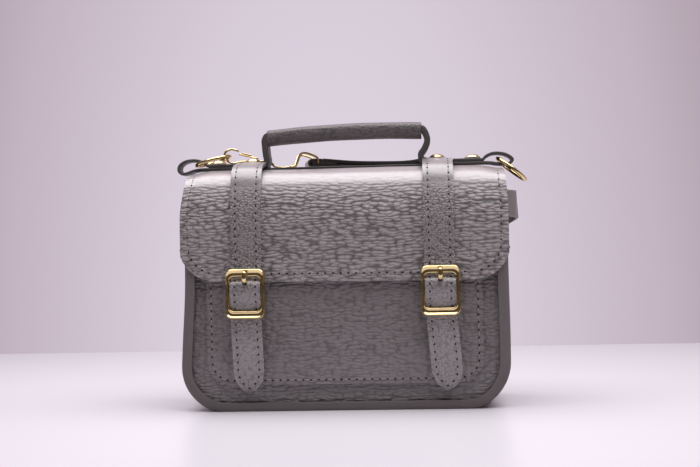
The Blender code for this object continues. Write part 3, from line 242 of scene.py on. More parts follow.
def flap_section(s, lift):
    """Y, Z and normal of the flap's outer side, raised by lift."""
    side = -1 if s >= 0 else 1
    run = abs(s)
    if run <= CROWN_ARC:
        angle = run / CROWN_RADIUS
        out = CROWN_RADIUS * math.sin(angle)
        height = CROWN_HEIGHT - CROWN_RADIUS * (1 - math.cos(angle))
    elif run <= FACE_START:
        angle = CROWN_ANGLE + (run - CROWN_ARC) / FLAP_BEND
        out = FLAP_FACE - FLAP_BEND + FLAP_BEND * math.sin(angle)
        height = BEND_Z + FLAP_BEND * math.cos(angle)
    else:
        angle = math.pi / 2
        out = FLAP_FACE
        height = BEND_Z - (run - FACE_START)
    out += lift * math.sin(angle)
    height += lift * math.cos(angle)
    if side < 0:
        out -= setback(height, out)
    return side * out, height, Vector((0, side * math.sin(angle), math.cos(angle)))


def flap_point(x, s, lift=0):
    """A point on the flap, whose top sags a little towards its ends."""
    y, z, normal = flap_section(s, lift)
    drop = EDGE_DROP * smooth_step((abs(x) - EDGE_DROP_START) / (HALF_WIDTH - EDGE_DROP_START))
    return Vector((x, y, z - drop * normal.z))


def section_s(z):
    """The s of a height on the hanging front face."""
    return FACE_START + BEND_Z - z


def height_at(s):
    """The height of a place on either hanging face."""
    return BEND_Z - (abs(s) - FACE_START)


# %% [markdown]
# Leather strips and panels start as a grid primitive whose points are laid on the shape. The grid gets a UV
# map in metres, so that the grain keeps its size and runs on round the bends, and Solidify gives it
# its thickness, with a second material on the cut edge and a third on the inside.

# %% Tools for leather skins
SHARP_ANGLE = math.radians(60)
SMOOTH_ANGLE = math.radians(50)


def work_on(piece):
    """Select one piece alone and make it active."""
    bpy.ops.object.select_all(action="DESELECT")
    piece.select_set(True)
    bpy.context.view_layer.objects.active = piece


def edit_all(piece):
    """Open one piece in edit mode with all of it selected."""
    work_on(piece)
    bpy.ops.object.mode_set(mode="EDIT")
    bpy.ops.mesh.select_all(action="SELECT")


def flip_faces(piece):
    edit_all(piece)
    bpy.ops.mesh.flip_normals()
    bpy.ops.object.mode_set(mode="OBJECT")


def start_from(add, **values):
    """Add a primitive with nothing else selected."""
    bpy.ops.object.select_all(action="DESELECT")
    add(**values)
    return bpy.context.active_object


def apply_all(piece):
    work_on(piece)
    for modifier in list(piece.modifiers):
        bpy.ops.object.modifier_apply(modifier=modifier.name)


def lay_grid(name, along, across, place, uv_of):
    """A grid whose point (u, v) is laid at place(u, v), with UVs in metres from uv_of(u, v)."""
    piece = start_from(bpy.ops.mesh.primitive_grid_add, x_subdivisions=along, y_subdivisions=across, size=2)
    piece.name = name
    piece.data.name = name
    shares = [((vertex.co.x + 1) / 2, (vertex.co.y + 1) / 2) for vertex in piece.data.vertices]
    for vertex, (u, v) in zip(piece.data.vertices, shares):
        vertex.co = place(u, v)
    flat = [uv_of(u, v) for u, v in shares]
    layer = piece.data.uv_layers[0]
    for loop in piece.data.loops:
        layer.data[loop.index].uv = flat[loop.vertex_index]
    return piece


def thicken(piece, thickness, finishes, offset=-1, round_off=0.0004):
    """Give a skin its thickness and soft edges; finishes are the outside's, the edge's and the inside's."""
    for finish in finishes:
        piece.data.materials.append(finish)
    solid = piece.modifiers.new("thickness", "SOLIDIFY")
    solid.thickness = thickness
    solid.offset = offset
    solid.use_even_offset = True
    solid.material_offset_rim = min(1, len(finishes) - 1)
    solid.material_offset = min(2, len(finishes) - 1)
    if round_off:
        edge = piece.modifiers.new("edge", "BEVEL")
        edge.width = round_off
        edge.segments = 2
        edge.limit_method = "ANGLE"
        edge.angle_limit = SHARP_ANGLE
        edge.loop_slide = False
    apply_all(piece)
    bpy.ops.object.shade_smooth_by_angle(angle=SMOOTH_ANGLE)
    return piece


# %% [markdown]
# The bag is soft leather with a tumbled, wrinkled grain. Each grain is a small cushion with a crease round
# it, wider than it is tall. A Voronoi texture gives the cushions, a noise bends their rows, and a finer one
# adds pores. The grain is far too fine to model, so it is bump, with painted shade in its creases and a
# painted highlight on its cushions; the sag and folds are geometry.

# %% Tools for materials


def new_material(name):
    material = bpy.data.materials.new(name)
    material.use_nodes = True
    return material, material.node_tree.nodes, material.node_tree.links


def add_node(nodes, kind, **values):
    """A node with its properties and input values; an input is named by its label, as in Scale=12."""
    node = nodes.new(kind)
    for key, value in values.items():
        if hasattr(node, key) and not key[0].isupper():
            setattr(node, key, value)
        else:
            node.inputs[key.replace("_", " ")].default_value = value
    return node


def color_ramp(nodes, links, source, stops):
    ramp = nodes.new("ShaderNodeValToRGB")
    while len(ramp.color_ramp.elements) < len(stops):
        ramp.color_ramp.elements.new(0.5)
    for element, (place, color) in zip(ramp.color_ramp.elements, stops):
        element.position = place
        element.color = (*color, 1)
    links.new(source, ramp.inputs["Fac"])
    return ramp


def scaled(color, factor):
    return tuple(min(channel * factor, 1) for channel in color)


# %% Make the leather finish
PORE_SHARE = 0.30
GRAIN_FADES_BEFORE = 0.004
GRAIN_FADES_AFTER = 0.012
STRETCHED_GRAIN = 0.12


def leather(name, color, grain=0.0024, height=0.0011, relief=0.00035, roughness=0.42, wave=1.0, crease_shade=0.60,
            top_highlight=1.10, coat=1.0, smooth_to=None):
    """Grained leather. grain is a wrinkle's width and height its height; wave bends their rows. The tone is
    darkened in the creases as painted shade and lightened on the cushions' tops as painted highlight. Where
    the leather is stretched over a bend, up to smooth_to along it, the grain is nearly flat."""
    material, nodes, links = new_material(name)
    shader = nodes["Principled BSDF"]
    place = add_node(nodes, "ShaderNodeTexCoord")
    mapping = add_node(nodes, "ShaderNodeMapping")
    mapping.inputs["Scale"].default_value = (1 / grain, 1 / height, 1)
    links.new(place.outputs["UV"], mapping.inputs["Vector"])
    sway = add_node(nodes, "ShaderNodeTexNoise", Scale=0.16, Detail=2.0)
    links.new(mapping.outputs[0], sway.inputs["Vector"])
    bent = add_node(nodes, "ShaderNodeVectorMath", operation="MULTIPLY_ADD")
    bent.inputs[1].default_value = (1.2 * wave, 2.8 * wave, 0)
    links.new(sway.outputs["Color"], bent.inputs[0])
    links.new(mapping.outputs[0], bent.inputs[2])
    crease = add_node(nodes, "ShaderNodeTexVoronoi", feature="F1", Scale=1.0, Randomness=0.72)
    links.new(bent.outputs[0], crease.inputs["Vector"])
    dome = add_node(nodes, "ShaderNodeMath", operation="POWER")
    dome.inputs[1].default_value = 2.2
    links.new(crease.outputs["Distance"], dome.inputs[0])
    cushion = add_node(nodes, "ShaderNodeMapRange")
    cushion.inputs["From Min"].default_value = 0.60
    cushion.inputs["From Max"].default_value = 0.0
    links.new(dome.outputs[0], cushion.inputs["Value"])
    pores = add_node(nodes, "ShaderNodeTexNoise", Scale=2.6, Detail=3.0, Roughness=0.6)
    links.new(bent.outputs[0], pores.inputs["Vector"])
    surface = add_node(nodes, "ShaderNodeMath", operation="MULTIPLY_ADD")
    surface.inputs[1].default_value = PORE_SHARE
    links.new(pores.outputs[0], surface.inputs[0])
    links.new(cushion.outputs[0], surface.inputs[2])
    bump = add_node(nodes, "ShaderNodeBump", Strength=1.0, Distance=relief)
    links.new(surface.outputs[0], bump.inputs["Height"])
    links.new(bump.outputs[0], shader.inputs["Normal"])
    relaxed = add_node(nodes, "ShaderNodeMix", data_type="FLOAT", A=0.72, Factor=1.0)
    links.new(surface.outputs[0], relaxed.inputs["B"])
    if smooth_to:
        axes = add_node(nodes, "ShaderNodeSeparateXYZ")
        links.new(place.outputs["UV"], axes.inputs[0])
        away = add_node(nodes, "ShaderNodeMath", operation="ABSOLUTE")
        links.new(axes.outputs["Y"], away.inputs[0])
        bend = add_node(nodes, "ShaderNodeMapRange", interpolation_type="SMOOTHSTEP")
        bend.inputs["From Min"].default_value = smooth_to - GRAIN_FADES_BEFORE
        bend.inputs["From Max"].default_value = smooth_to + GRAIN_FADES_AFTER
        bend.inputs["To Min"].default_value = STRETCHED_GRAIN
        links.new(away.outputs[0], bend.inputs["Value"])
        links.new(bend.outputs[0], bump.inputs["Strength"])
        links.new(bend.outputs[0], relaxed.inputs["Factor"])
    # Painted shade in the creases and painted highlight on the cushions' tops, by the relief's height.
    tone = color_ramp(nodes, links, relaxed.outputs[0], [(0.10, scaled(color, crease_shade)), (0.60, color),
                                                         (1.0, scaled(color, top_highlight))])
    cloud = add_node(nodes, "ShaderNodeTexNoise", Scale=0.06, Detail=2.0)
    links.new(mapping.outputs[0], cloud.inputs["Vector"])
    shade = color_ramp(nodes, links, cloud.outputs[0], [(0.3, (0.92, 0.92, 0.92)), (0.7, (1.0, 0.99, 1.0))])
    mix = add_node(nodes, "ShaderNodeMix", data_type="RGBA", blend_type="MULTIPLY")
    mix.inputs["Factor"].default_value = 1.0
    links.new(tone.outputs[0], mix.inputs["A"])
    links.new(shade.outputs[0], mix.inputs["B"])
    links.new(mix.outputs["Result"], shader.inputs["Base Color"])
    gloss = add_node(nodes, "ShaderNodeMapRange")
    gloss.inputs["To Min"].default_value = roughness + 0.16
    gloss.inputs["To Max"].default_value = roughness
    links.new(cushion.outputs[0], gloss.inputs["Value"])
    links.new(gloss.outputs[0], shader.inputs["Roughness"])
    shader.inputs["Specular IOR Level"].default_value = 0.15 + 0.55 * coat
    shader.inputs["Coat Weight"].default_value = coat
    shader.inputs["Coat IOR"].default_value = 1.75
    shader.inputs["Coat Roughness"].default_value = 0.32
    return material


# %% [markdown]
# A cut edge is painted: darker, smoother and a little glossy. The inside of a strap is plain backing cloth,
# and the thread is pale and slightly fuzzy with a twist.

# %% Make the edge, backing and thread finishes


def plain_finish(name, color, roughness, grain, relief, metallic=0.0, spread=0.12):
    """A finish with a fine noise in its tone, roughness and surface; grain is the noise's size."""
    material, nodes, links = new_material(name)
    shader = nodes["Principled BSDF"]
    place = add_node(nodes, "ShaderNodeTexCoord")
    speckle = add_node(nodes, "ShaderNodeTexNoise", Scale=1 / grain, Detail=3.0)
    links.new(place.outputs["Object"], speckle.inputs["Vector"])
    tone = color_ramp(nodes, links, speckle.outputs[0], [(0.3, scaled(color, 1 - spread)),
                                                        (0.7, scaled(color, 1 + spread))])
    links.new(tone.outputs[0], shader.inputs["Base Color"])
    gloss = add_node(nodes, "ShaderNodeMapRange")
    gloss.inputs["To Min"].default_value = roughness * 0.85
    gloss.inputs["To Max"].default_value = roughness * 1.15
    links.new(speckle.outputs[0], gloss.inputs["Value"])
    links.new(gloss.outputs[0], shader.inputs["Roughness"])
    bump = add_node(nodes, "ShaderNodeBump", Strength=0.6, Distance=relief)
    links.new(speckle.outputs[0], bump.inputs["Height"])
    links.new(bump.outputs[0], shader.inputs["Normal"])
    shader.inputs["Metallic"].default_value = metallic
    return material


# The factors for the creases and the cushions' tops below are painted shade and painted highlight.
LEATHER_TONE = (0.330, 0.285, 0.293)
FLAP_LEATHER = leather("flap leather", LEATHER_TONE, grain=0.0050, height=0.0019, relief=0.0036,
                       roughness=0.38, crease_shade=0.36, top_highlight=1.30, smooth_to=FACE_START)
PANEL_LEATHER = leather("panel leather", scaled(LEATHER_TONE, 0.58), grain=0.0042, height=0.0019,
                        relief=0.0015, roughness=0.46, crease_shade=0.62, coat=0.7)
STRAP_LEATHER = leather("strap leather", scaled(LEATHER_TONE, 0.70), grain=0.0017, height=0.0014,
                        relief=0.0009, roughness=0.40, wave=0.6, crease_shade=0.50, top_highlight=1.25,
                        smooth_to=FACE_START)
BAND_LEATHER = leather("band leather", (0.034, 0.028, 0.025), grain=0.0016, height=0.0013, relief=0.0003,
                       roughness=0.50, wave=0.6, crease_shade=0.8, coat=0.0)
TAB_LEATHER = leather("tab leather", (0.090, 0.080, 0.078), grain=0.0014, height=0.0011, relief=0.0003,
                      roughness=0.46, wave=0.6, crease_shade=0.8, coat=0.3)
GRIP_LEATHER = leather("grip leather", scaled(LEATHER_TONE, 0.42), grain=0.0024, height=0.0016,
                       relief=0.00035, roughness=0.44, crease_shade=0.70, coat=0.3)
EDGE_PAINT = plain_finish("edge paint", (0.085, 0.078, 0.075), 0.42, 0.0012, 0.00006)
BACKING = plain_finish("backing cloth", (0.15, 0.13, 0.13), 0.9, 0.0005, 0.0001)
THREAD = plain_finish("thread", (0.300, 0.266, 0.268), 0.62, 0.0004, 0.00008)
# Painted shade: a near-black finish for the shade inside the stitch holes and the prong's holes.
HOLE_SHADE = plain_finish("stitch hole shade", (0.012, 0.011, 0.011), 0.9, 0.0004, 0.00002)
GOLD = plain_finish("gold", (0.74, 0.58, 0.30), 0.13, 0.0030, 0.000012, metallic=1.0, spread=0.05)
RIVET_GOLD = plain_finish("rivet gold", (0.88, 0.70, 0.42), 0.24, 0.0020, 0.00002, metallic=1.0,
                          spread=0.06)
BOARD = plain_finish("base board", (0.20, 0.15, 0.11), 0.85, 0.0008, 0.00008)

# %% [markdown]
# The shoulder strap is one long soft strip of leather. It leaves the near clip's bar, lies across the flap,
# drops over the rear hinge and lies in flat loops behind the bag, standing on its edge, as it is put away.
# Its first route is given over the flap, by x, by the distance behind the crown and by how high its front
# and back edges lie; its second in the open. These are the points that its solids follow.

# %% The shoulder strap's route
SHOULDER_WIDTH = 0.0180
SHOULDER_THICK = 0.0020
ROUTE_STEP = 0.0060
TOP_ROUTE = (
    (-0.0165, 0.0166, 0.0064, 0.0077), (-0.0100, 0.0180, 0.0059, 0.0068), (0.0000, 0.0194, 0.0051, 0.0056),
    (0.0100, 0.0200, 0.0045, 0.0047), (0.0250, 0.0210, 0.0042, 0.0040), (0.0360, 0.0215, 0.0042, 0.0036),
    (0.0430, 0.0219, 0.0048, 0.0035), (0.0490, 0.0227, 0.0060, 0.0036), (0.0570, 0.0250, 0.0057, 0.0036),
    (0.0630, 0.0285, 0.0048, 0.0036), (0.0690, 0.0335, 0.0036, 0.0036), (0.0745, 0.0385, 0.0024, 0.0034),
    (0.0800, 0.0435, 0.0017, 0.0022), (0.0850, 0.0480, 0.0015, 0.0017), (0.0905, 0.0521, 0.0015, 0.0015),
    (0.0960, 0.0553, 0.0016, 0.0016), (0.1005, 0.0567, 0.0018, 0.0017))
BACK_ROUTE = (
    (0.1050, 0.0435, 0.1268), (0.1090, 0.0456, 0.1265), (0.1115, 0.0489, 0.1262), (0.1123, 0.0525, 0.1257),
    (0.1108, 0.0565, 0.1248), (0.1060, 0.0592, 0.1224), (0.0980, 0.0598, 0.1180), (0.0850, 0.0578, 0.1100),
    (0.0700, 0.0542, 0.1000), (0.0520, 0.0510, 0.0870), (0.0320, 0.0490, 0.0720), (0.0120, 0.0480, 0.0565),
    (-0.0080, 0.0476, 0.0415), (-0.0260, 0.0474, 0.0290), (-0.0420, 0.0474, 0.0190),
    (-0.0560, 0.0476, 0.0122), (-0.0660, 0.0480, 0.0096))
ACROSS_SHARES = (0, 0.25, 0.5, 0.75, 1)
COIL_HALF = 0.0690
COIL_RADII = (0.0240, 0.0195, 0.0075)
COIL_FIRST_Y = 0.0480
COIL_POINTS = 12
FAR_BAR_X = 0.0140
FAR_BAR_HEIGHT = 0.0047
FOLD_START = 0.0030
FOLD_TURN = 0.00205
TURN_OVER_SHARE = 0.5
LIE_FLAT_SHARE = 0.3


def path_direction(points, index):
    return (points[min(index + 1, len(points) - 1)] - points[max(index - 1, 0)]).normalized()


def coil_route():
    """The spare length: flat loops, standing on the strap's edge, that turn inwards behind the bag."""
    height = SHOULDER_WIDTH / 2 + GAP
    points = []
    y = COIL_FIRST_Y
    side = -1
    outward = 1
    for radius in COIL_RADII:
        for step in range(COIL_POINTS + 1):
            angle = math.pi * step / COIL_POINTS
            points.append(Vector((side * (COIL_HALF + radius * math.sin(angle)),
                                  y + outward * radius * (1 - math.cos(angle)), height)))
        y += 2 * outward * radius
        outward = -outward
        side = -side
    return points


def rows_over_flap():
    """Front edge, middle and back edge of the strap at each step over the flap."""
    centre = smooth_path([(x, back, 0) for x, back, front_lift, back_lift in TOP_ROUTE], ROUTE_STEP / 3)
    lifts = smooth_path([(x, front_lift, back_lift) for x, back, front_lift, back_lift in TOP_ROUTE],
                        ROUTE_STEP / 8)
    rows = []
    for index, point in enumerate(centre):
        direction = path_direction(centre, index)
        nearest = min(lifts, key=lambda entry, x=point.x: abs(entry.x - x))
        row = []
        for share in ACROSS_SHARES:
            offset = (share - 0.5) * SHOULDER_WIDTH
            x = point.x - direction.y * offset
            back = point.y + direction.x * offset
            row.append(flap_point(x, -back, between(nearest.y, nearest.z, share)))
        rows.append(row)
    return rows


def rows_behind(first):
    """The same from the rear hinge to the floor, round the loops and on to the far clip."""
    fall = smooth_path([first] + [Vector(point) for point in BACK_ROUTE], ROUTE_STEP)
    coil = even_points(coil_route(), ROUTE_STEP)
    last = coil[-1]
    run = smooth_path([last] + [Vector((between(last.x, FAR_BAR_X - FOLD_START, step / 5), last.y, last.z))
                                for step in range(1, 6)], ROUTE_STEP)
    points = fall + coil + run[1:]
    flat_from = len(fall) + len(coil)
    rows = []
    for index, point in enumerate(points):
        direction = path_direction(points, index)
        sideways = Vector((-direction.y, direction.x, 0)).normalized()
        across = direction.cross(sideways)
        if index >= flat_from:
            lie = math.pi / 2 * smooth_step((index - flat_from) / (len(run) * TURN_OVER_SHARE))
            settle = len(run) * LIE_FLAT_SHARE
            rise = smooth_step((index - len(points) + settle) / settle)
            low = between(SHOULDER_THICK * 1.5 + 3 * GAP, FAR_BAR_HEIGHT + FOLD_TURN, rise)
            across = (across * math.cos(lie) + sideways * math.sin(lie)).normalized()
            point.z = (SHOULDER_WIDTH / 2 + GAP) * math.cos(lie) + low * math.sin(lie)
        rows.append([point + across * SHOULDER_WIDTH * (share - 0.5) for share in ACROSS_SHARES])
    return rows


top_rows = rows_over_flap()
strap_rows = top_rows[:-1] + rows_behind(top_rows[-1][2])
strap_line = [row[2] for row in strap_rows]
strap_length = sum((two - one).length for one, two in zip(strap_line, strap_line[1:]))
print("shoulder strap", round(strap_length, 3), "m in", len(strap_rows), "rows")

# %% [markdown]
# The rows become a skin of leather with painted edges.

# %% Lay the shoulder strap


def row_point(rows, u, v):
    """A point between rows at share u along them and v across them."""
    along = u * (len(rows) - 1)
    index = min(int(along), len(rows) - 2)
    across = v * (len(rows[0]) - 1)
    column = min(int(across), len(rows[0]) - 2)
    first = rows[index][column].lerp(rows[index][column + 1], across - column)
    second = rows[index + 1][column].lerp(rows[index + 1][column + 1], across - column)
    return first.lerp(second, along - index)


def strip_along(name, rows, finishes, thickness, columns=8, round_off=0.0005):
    """A strip of leather laid through rows of points, each from its front edge to its back edge."""
    length = sum((two[len(two) // 2] - one[len(one) // 2]).length for one, two in zip(rows, rows[1:]))
    width = sum((two - one).length for one, two in zip(rows[0], rows[0][1:]))
    piece = lay_grid(name, len(rows) - 1, columns, lambda u, v: row_point(rows, u, v),
                     lambda u, v: (u * length, v * width))
    return thicken(piece, thickness, finishes, offset=0, round_off=round_off)


STRAP_FINISHES = [STRAP_LEATHER, EDGE_PAINT, BACKING]
shoulder_strap = strip_along("shoulder_strap", strap_rows, STRAP_FINISHES, SHOULDER_THICK)
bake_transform(shoulder_strap)
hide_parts("shoulder_strap_top", "shoulder_strap_back", "shoulder_strap_coil")
print("shoulder strap laid,", len(shoulder_strap.data.polygons), "faces")

# %% [markdown]
# The flap is one skin from the hem behind to the rounded foot in front, but it bends at two hinges, and a
# piece can bend at only one. It is cut along the crown, under the handle's strip and the ring tabs, where
# the cut doesn't show. Its surface sways a little, sinks along its stitching and draws in at its top corners.

# %% Shape the flap's surface
FLAP_CORNER = 0.022
FLAP_ROW_INSET = 0.0044
FLAP_FOOT_ROW = 0.0049
ROW_SINK = 0.00022
ROW_SINK_WIDTH = 0.0011
TOP_DRAW_IN = 0.0019
TOP_DRAW_FROM = 0.036
TOP_DRAW_RUN = 0.030
TOP_SHIFT = 0.0009
FLAP_SHIFT = 0.0006
FLAP_OVER = 0.0004
CORNER_TURN_SHARE = 0.96
FOOT_DROP = 0.0004
FOOT_SLOPE = 0.0009
FOOT_BOW = 0.0004
SWAYS = ((0.00035, 17, 21, 0), (0.00010, 60, 75, 5))


def sway(x, s, seed=0.0):
    """The slow unevenness of stretched leather: a height, two frequencies and a seed for each wave."""
    return sum(rise * noise.noise(Vector((x * over, s * down, seed + shift)))
               for rise, over, down, shift in SWAYS)


def top_share(s):
    """1 over the top of the flap, fading to 0 down its faces."""
    return 1 - smooth_step((abs(s) - TOP_DRAW_FROM) / TOP_DRAW_RUN)


def flap_half(s):
    return HALF_WIDTH + FLAP_OVER - TOP_DRAW_IN * top_share(s)


def flap_foot(x):
    """Height of the flap's lower edge: rounded corners and a slight slope, higher at the left."""
    share = x / HALF_WIDTH
    out = CORNER_TURN_SHARE * min(max(abs(x) - (HALF_WIDTH - FLAP_CORNER), 0) / FLAP_CORNER, 1)
    round_up = FLAP_CORNER * (1 - math.sqrt(max(1 - out * out, 0)))
    return FLAP_FOOT - FOOT_DROP - FOOT_SLOPE * share + FOOT_BOW * share * share + round_up


def row_sink(distance, inset):
    """How far a row of stitches, at its inset, draws the leather down at a distance from the edge."""
    return ROW_SINK * math.exp(-((distance - inset) / ROW_SINK_WIDTH) ** 2)


def flap_surface(share_x, s, lift=0):
    """A point of the flap's outer side; share_x runs from -1 to 1 across it."""
    half = flap_half(s)
    x = share_x * half
    sink = row_sink(half - abs(x), FLAP_ROW_INSET)
    if s > FACE_START:
        sink = max(sink, row_sink(height_at(s) - flap_foot(share_x * HALF_WIDTH), FLAP_FOOT_ROW))
    return flap_point(x + FLAP_SHIFT + TOP_SHIFT * top_share(s), s, lift + sway(x, s) - sink)


def cross_shares(half, radius, step, corner_steps):
    """Shares across a panel from -1 to 1, closer together where its rounded corners turn."""
    straight = 1 - radius / half
    count = round(2 * straight * half / step)
    middle = [between(-straight, straight, number / count) for number in range(1, count)]
    turn = [straight + (1 - straight) * math.sin(math.pi / 2 * number / corner_steps)
            for number in range(corner_steps + 1)]
    return [-share for share in reversed(turn)] + middle + turn


# %% Lay the flap
SKIN_STEP = 0.0010
FLAP_EDGE_ROUND = 0.00055
EVEN_ROWS = 0.004
shares_across = cross_shares(HALF_WIDTH, FLAP_CORNER, SKIN_STEP, corner_steps=8)
FLAP_FINISHES = [FLAP_LEATHER, EDGE_PAINT, BACKING]


def lay_flap(name, start, turn_at, foot):
    """Half of the flap: from s = start to turn_at in even rows, then on to the foot(share_x)."""
    near = round(abs(turn_at - start) / SKIN_STEP)
    far = round(abs(foot(0) - turn_at) / SKIN_STEP)

    def s_at(u, share_x):
        row = round(u * (near + far))
        if row <= near:
            return between(start, turn_at, row / near)
        return between(turn_at, foot(share_x), (row - near) / far)

    def place(u, v):
        share_x = shares_across[round(v * (len(shares_across) - 1))]
        return flap_surface(share_x, s_at(u, share_x))

    def uv_of(u, v):
        share_x = shares_across[round(v * (len(shares_across) - 1))]
        return share_x * HALF_WIDTH, s_at(u, share_x)

    return lay_grid(name, near + far, len(shares_across) - 1, place, uv_of)


def foot_s(share_x):
    return section_s(flap_foot(share_x * HALF_WIDTH))


fore_flap = lay_flap("flap_fore", 0.0, FACE_START + EVEN_ROWS, foot_s)
thicken(fore_flap, FLAP_THICK, FLAP_FINISHES, round_off=FLAP_EDGE_ROUND)
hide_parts("flap_top", "flap_front")

rear_flap = lay_flap("flap_rear", 0.0, -HINGE_S, lambda share_x: -(HINGE_S + HEM_LENGTH))
flip_faces(rear_flap)
thicken(rear_flap, FLAP_THICK, FLAP_FINISHES, round_off=FLAP_EDGE_ROUND)
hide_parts("flap_hem")

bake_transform(fore_flap)
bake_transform(rear_flap)
print("flap laid,", len(fore_flap.data.polygons), "and", len(rear_flap.data.polygons), "faces")

# %% [markdown]
# Two straps run from the hem over the flap, through a buckle each and down to a pointed tip. Behind the
# buckle's top and bottom bars they lie low, and between them they swell out over the bar that the prong
# turns on. Each is cut at the crown as the flap is.

# %% Shape the straps
BAR_Z = 0.0725
BUCKLE_HEIGHT = 0.0308
BUCKLE_WIDTH = 0.0240
BUCKLE_BAR = 0.0052
BUCKLE_DEEP = 0.0032
BAR_STEP = (BUCKLE_HEIGHT - BUCKLE_BAR) / 2
STRAP_LEAVE = 0.0215
STRAP_RAISED = 0.0085
STRAP_LOWERED = 0.0280
STRAP_LIFT = 0.0031
STRAP_BRIDGE = 0.0375
STRAP_HUMP = 0.0466
STRAP_LOW = 0.0451
STRAP_POINT = 0.0130
STRAP_CROWN = 0.00035
WINDOW_BULGE = 0.0021
TIP_EASE = 0.0022
STRAP_ROW_INSET = 0.0030
TIP_LEAN = {"left": 0.0007, "right": 0.0034}
TIP_BLUNT = 0.0007
TIP_SHARE = 0.4
STRAP_SINK_SHARE = 0.8
SWAY_EASE = 0.01
BULGE_RISE_SHARE = 0.22
BULGE_TOP_SHARE = 0.30
STRAP_COLUMNS = 16


def strap_lift(s):
    """How far a strap lies above the flap: over the tabs and the handle's strip at the crown, then on it."""
    if s > 0:
        return between(STRAP_LIFT, GAP, smooth_step((s - STRAP_BRIDGE) / (FACE_START - STRAP_BRIDGE)))
    return between(STRAP_LIFT, GAP, smooth_step((-s - STRAP_RAISED) / (STRAP_LOWERED - STRAP_RAISED)))


def window_bulge(z):
    """How far the strap swells out in the buckle's window: at once below the top bar, then slowly back."""
    window = BUCKLE_HEIGHT - 2 * BUCKLE_BAR
    share = (BAR_Z + window / 2 - z) / window
    fall = smooth_step((share - BULGE_TOP_SHARE) / (1 - BULGE_TOP_SHARE))
    return WINDOW_BULGE * smooth_step(share / BULGE_RISE_SHARE) * (1 - fall)


def strap_under(z):
    """Distance of a hanging strap's underside from the bag's middle, at a height."""
    leave = BAR_Z + STRAP_LEAVE
    low = BAR_Z - BAR_STEP
    if z >= BAR_Z:
        return between(FLAP_FACE + GAP, STRAP_HUMP, smooth_step((leave - z) / STRAP_LEAVE))
    if z >= low:
        return between(STRAP_HUMP, STRAP_LOW, smooth_step((BAR_Z - z) / BAR_STEP))
    return between(STRAP_LOW, POCKET_FACE + TIP_EASE, smooth_step((low - z) / (low - STRAP_TIP)))


def strap_half(z):
    """Half width of a strap whose end is drawn in to a point by two arcs."""
    half = STRAP_WIDTH / 2
    rise = STRAP_TIP + STRAP_POINT - z
    if rise <= 0:
        return half
    radius = (half * half + STRAP_POINT * STRAP_POINT) / (2 * half)
    return max(math.sqrt(max(radius * radius - rise * rise, 0)) - (radius - half), TIP_BLUNT)


def strap_half_at(s):
    return strap_half(height_at(s)) if s > HINGE_S else STRAP_WIDTH / 2


def strap_point(side, tag, s, across):
    """A point of a strap's outer side; across runs from -1 to 1 and s from the crown, negative behind."""
    x = side * STRAP_X
    z = height_at(s)
    half = strap_half_at(s)
    crown = STRAP_CROWN * (1 - across * across)
    crown -= row_sink(half * (1 - abs(across)), STRAP_ROW_INSET) * STRAP_SINK_SHARE
    if s <= HINGE_S:
        return flap_point(x + across * half, s, strap_lift(s) + STRAP_THICK + crown + sway(x, s))
    lean = TIP_LEAN[tag] * smooth_step((BAR_Z - z) / (BAR_Z - STRAP_TIP))
    ease = smooth_step((z - BAR_Z - STRAP_LEAVE) / SWAY_EASE)
    out = strap_under(z) + window_bulge(z) + STRAP_THICK + crown + ease * sway(x, s)
    out -= setback(z, out)
    return Vector((x + lean + across * half, -out, z))


# %% Lay the straps
STRAP_TIP_S = section_s(STRAP_TIP)


def lay_strap(name, side, tag, start, end):
    """Part of a strap between two values of s, with its rows closer together towards the tip."""

    def s_at(u):
        if end == STRAP_TIP_S and u > 1 - TIP_SHARE:
            u = 1 - TIP_SHARE + TIP_SHARE * math.sin(math.pi / 2 * (u - 1 + TIP_SHARE) / TIP_SHARE)
        return between(start, end, u)

    def across_at(v):
        return between(-1, 1, round(v * STRAP_COLUMNS) / STRAP_COLUMNS)

    return lay_grid(name, round(abs(end - start) / SKIN_STEP), STRAP_COLUMNS,
                    lambda u, v: strap_point(side, tag, s_at(u), across_at(v)),
                    lambda u, v: (across_at(v) * STRAP_WIDTH / 2 + side, s_at(u)))


SIDES = ((-1, "left"), (1, "right"))
for side, tag in SIDES:
    fore = lay_strap(f"strap_fore_{tag}", side, tag, 0.0, STRAP_TIP_S)
    thicken(fore, STRAP_THICK, STRAP_FINISHES)
    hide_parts(f"strap_top_{tag}", f"strap_front_{tag}")
    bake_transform(fore)
    rear = lay_strap(f"strap_rear_{tag}", side, tag, -(HINGE_S + HEM_LENGTH), 0.0)
    thicken(rear, STRAP_THICK, STRAP_FINISHES)
    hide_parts(f"strap_end_{tag}")
    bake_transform(rear)
    print("strap", tag, "laid,", len(fore.data.polygons) + len(rear.data.polygons), "faces")

# %% [markdown]
# The body is one long strip of leather, the gusset, that goes down one side, under the base and up the
# other. Its two edges roll over the front and back panels in a narrow band and are stitched down. Its sides
# swell a little at the height of the load and fall inwards at the rim.

# %% Shape the body
CORNER_RADIUS = 0.028
GUSSET_THICK = 0.0015
BAND_WIDTH = 0.0055
BAND_ROLL = 0.0032
SIDE_SWELL = 0.0007
SWELL_Z = 0.045
SWELL_REACH = 0.030
RIM_FALL = 0.0016
RIM_FALL_FROM = 0.085
OUTLINE_STEP = 0.0018
BEAD_RISE = 0.00012
BEAD_INSET = 0.0030
BEAD_HALF = 0.0012
FACE_NEAR = 0.0001
GUSSET_SWAY = 0.35
GUSSET_SEED = 9.0


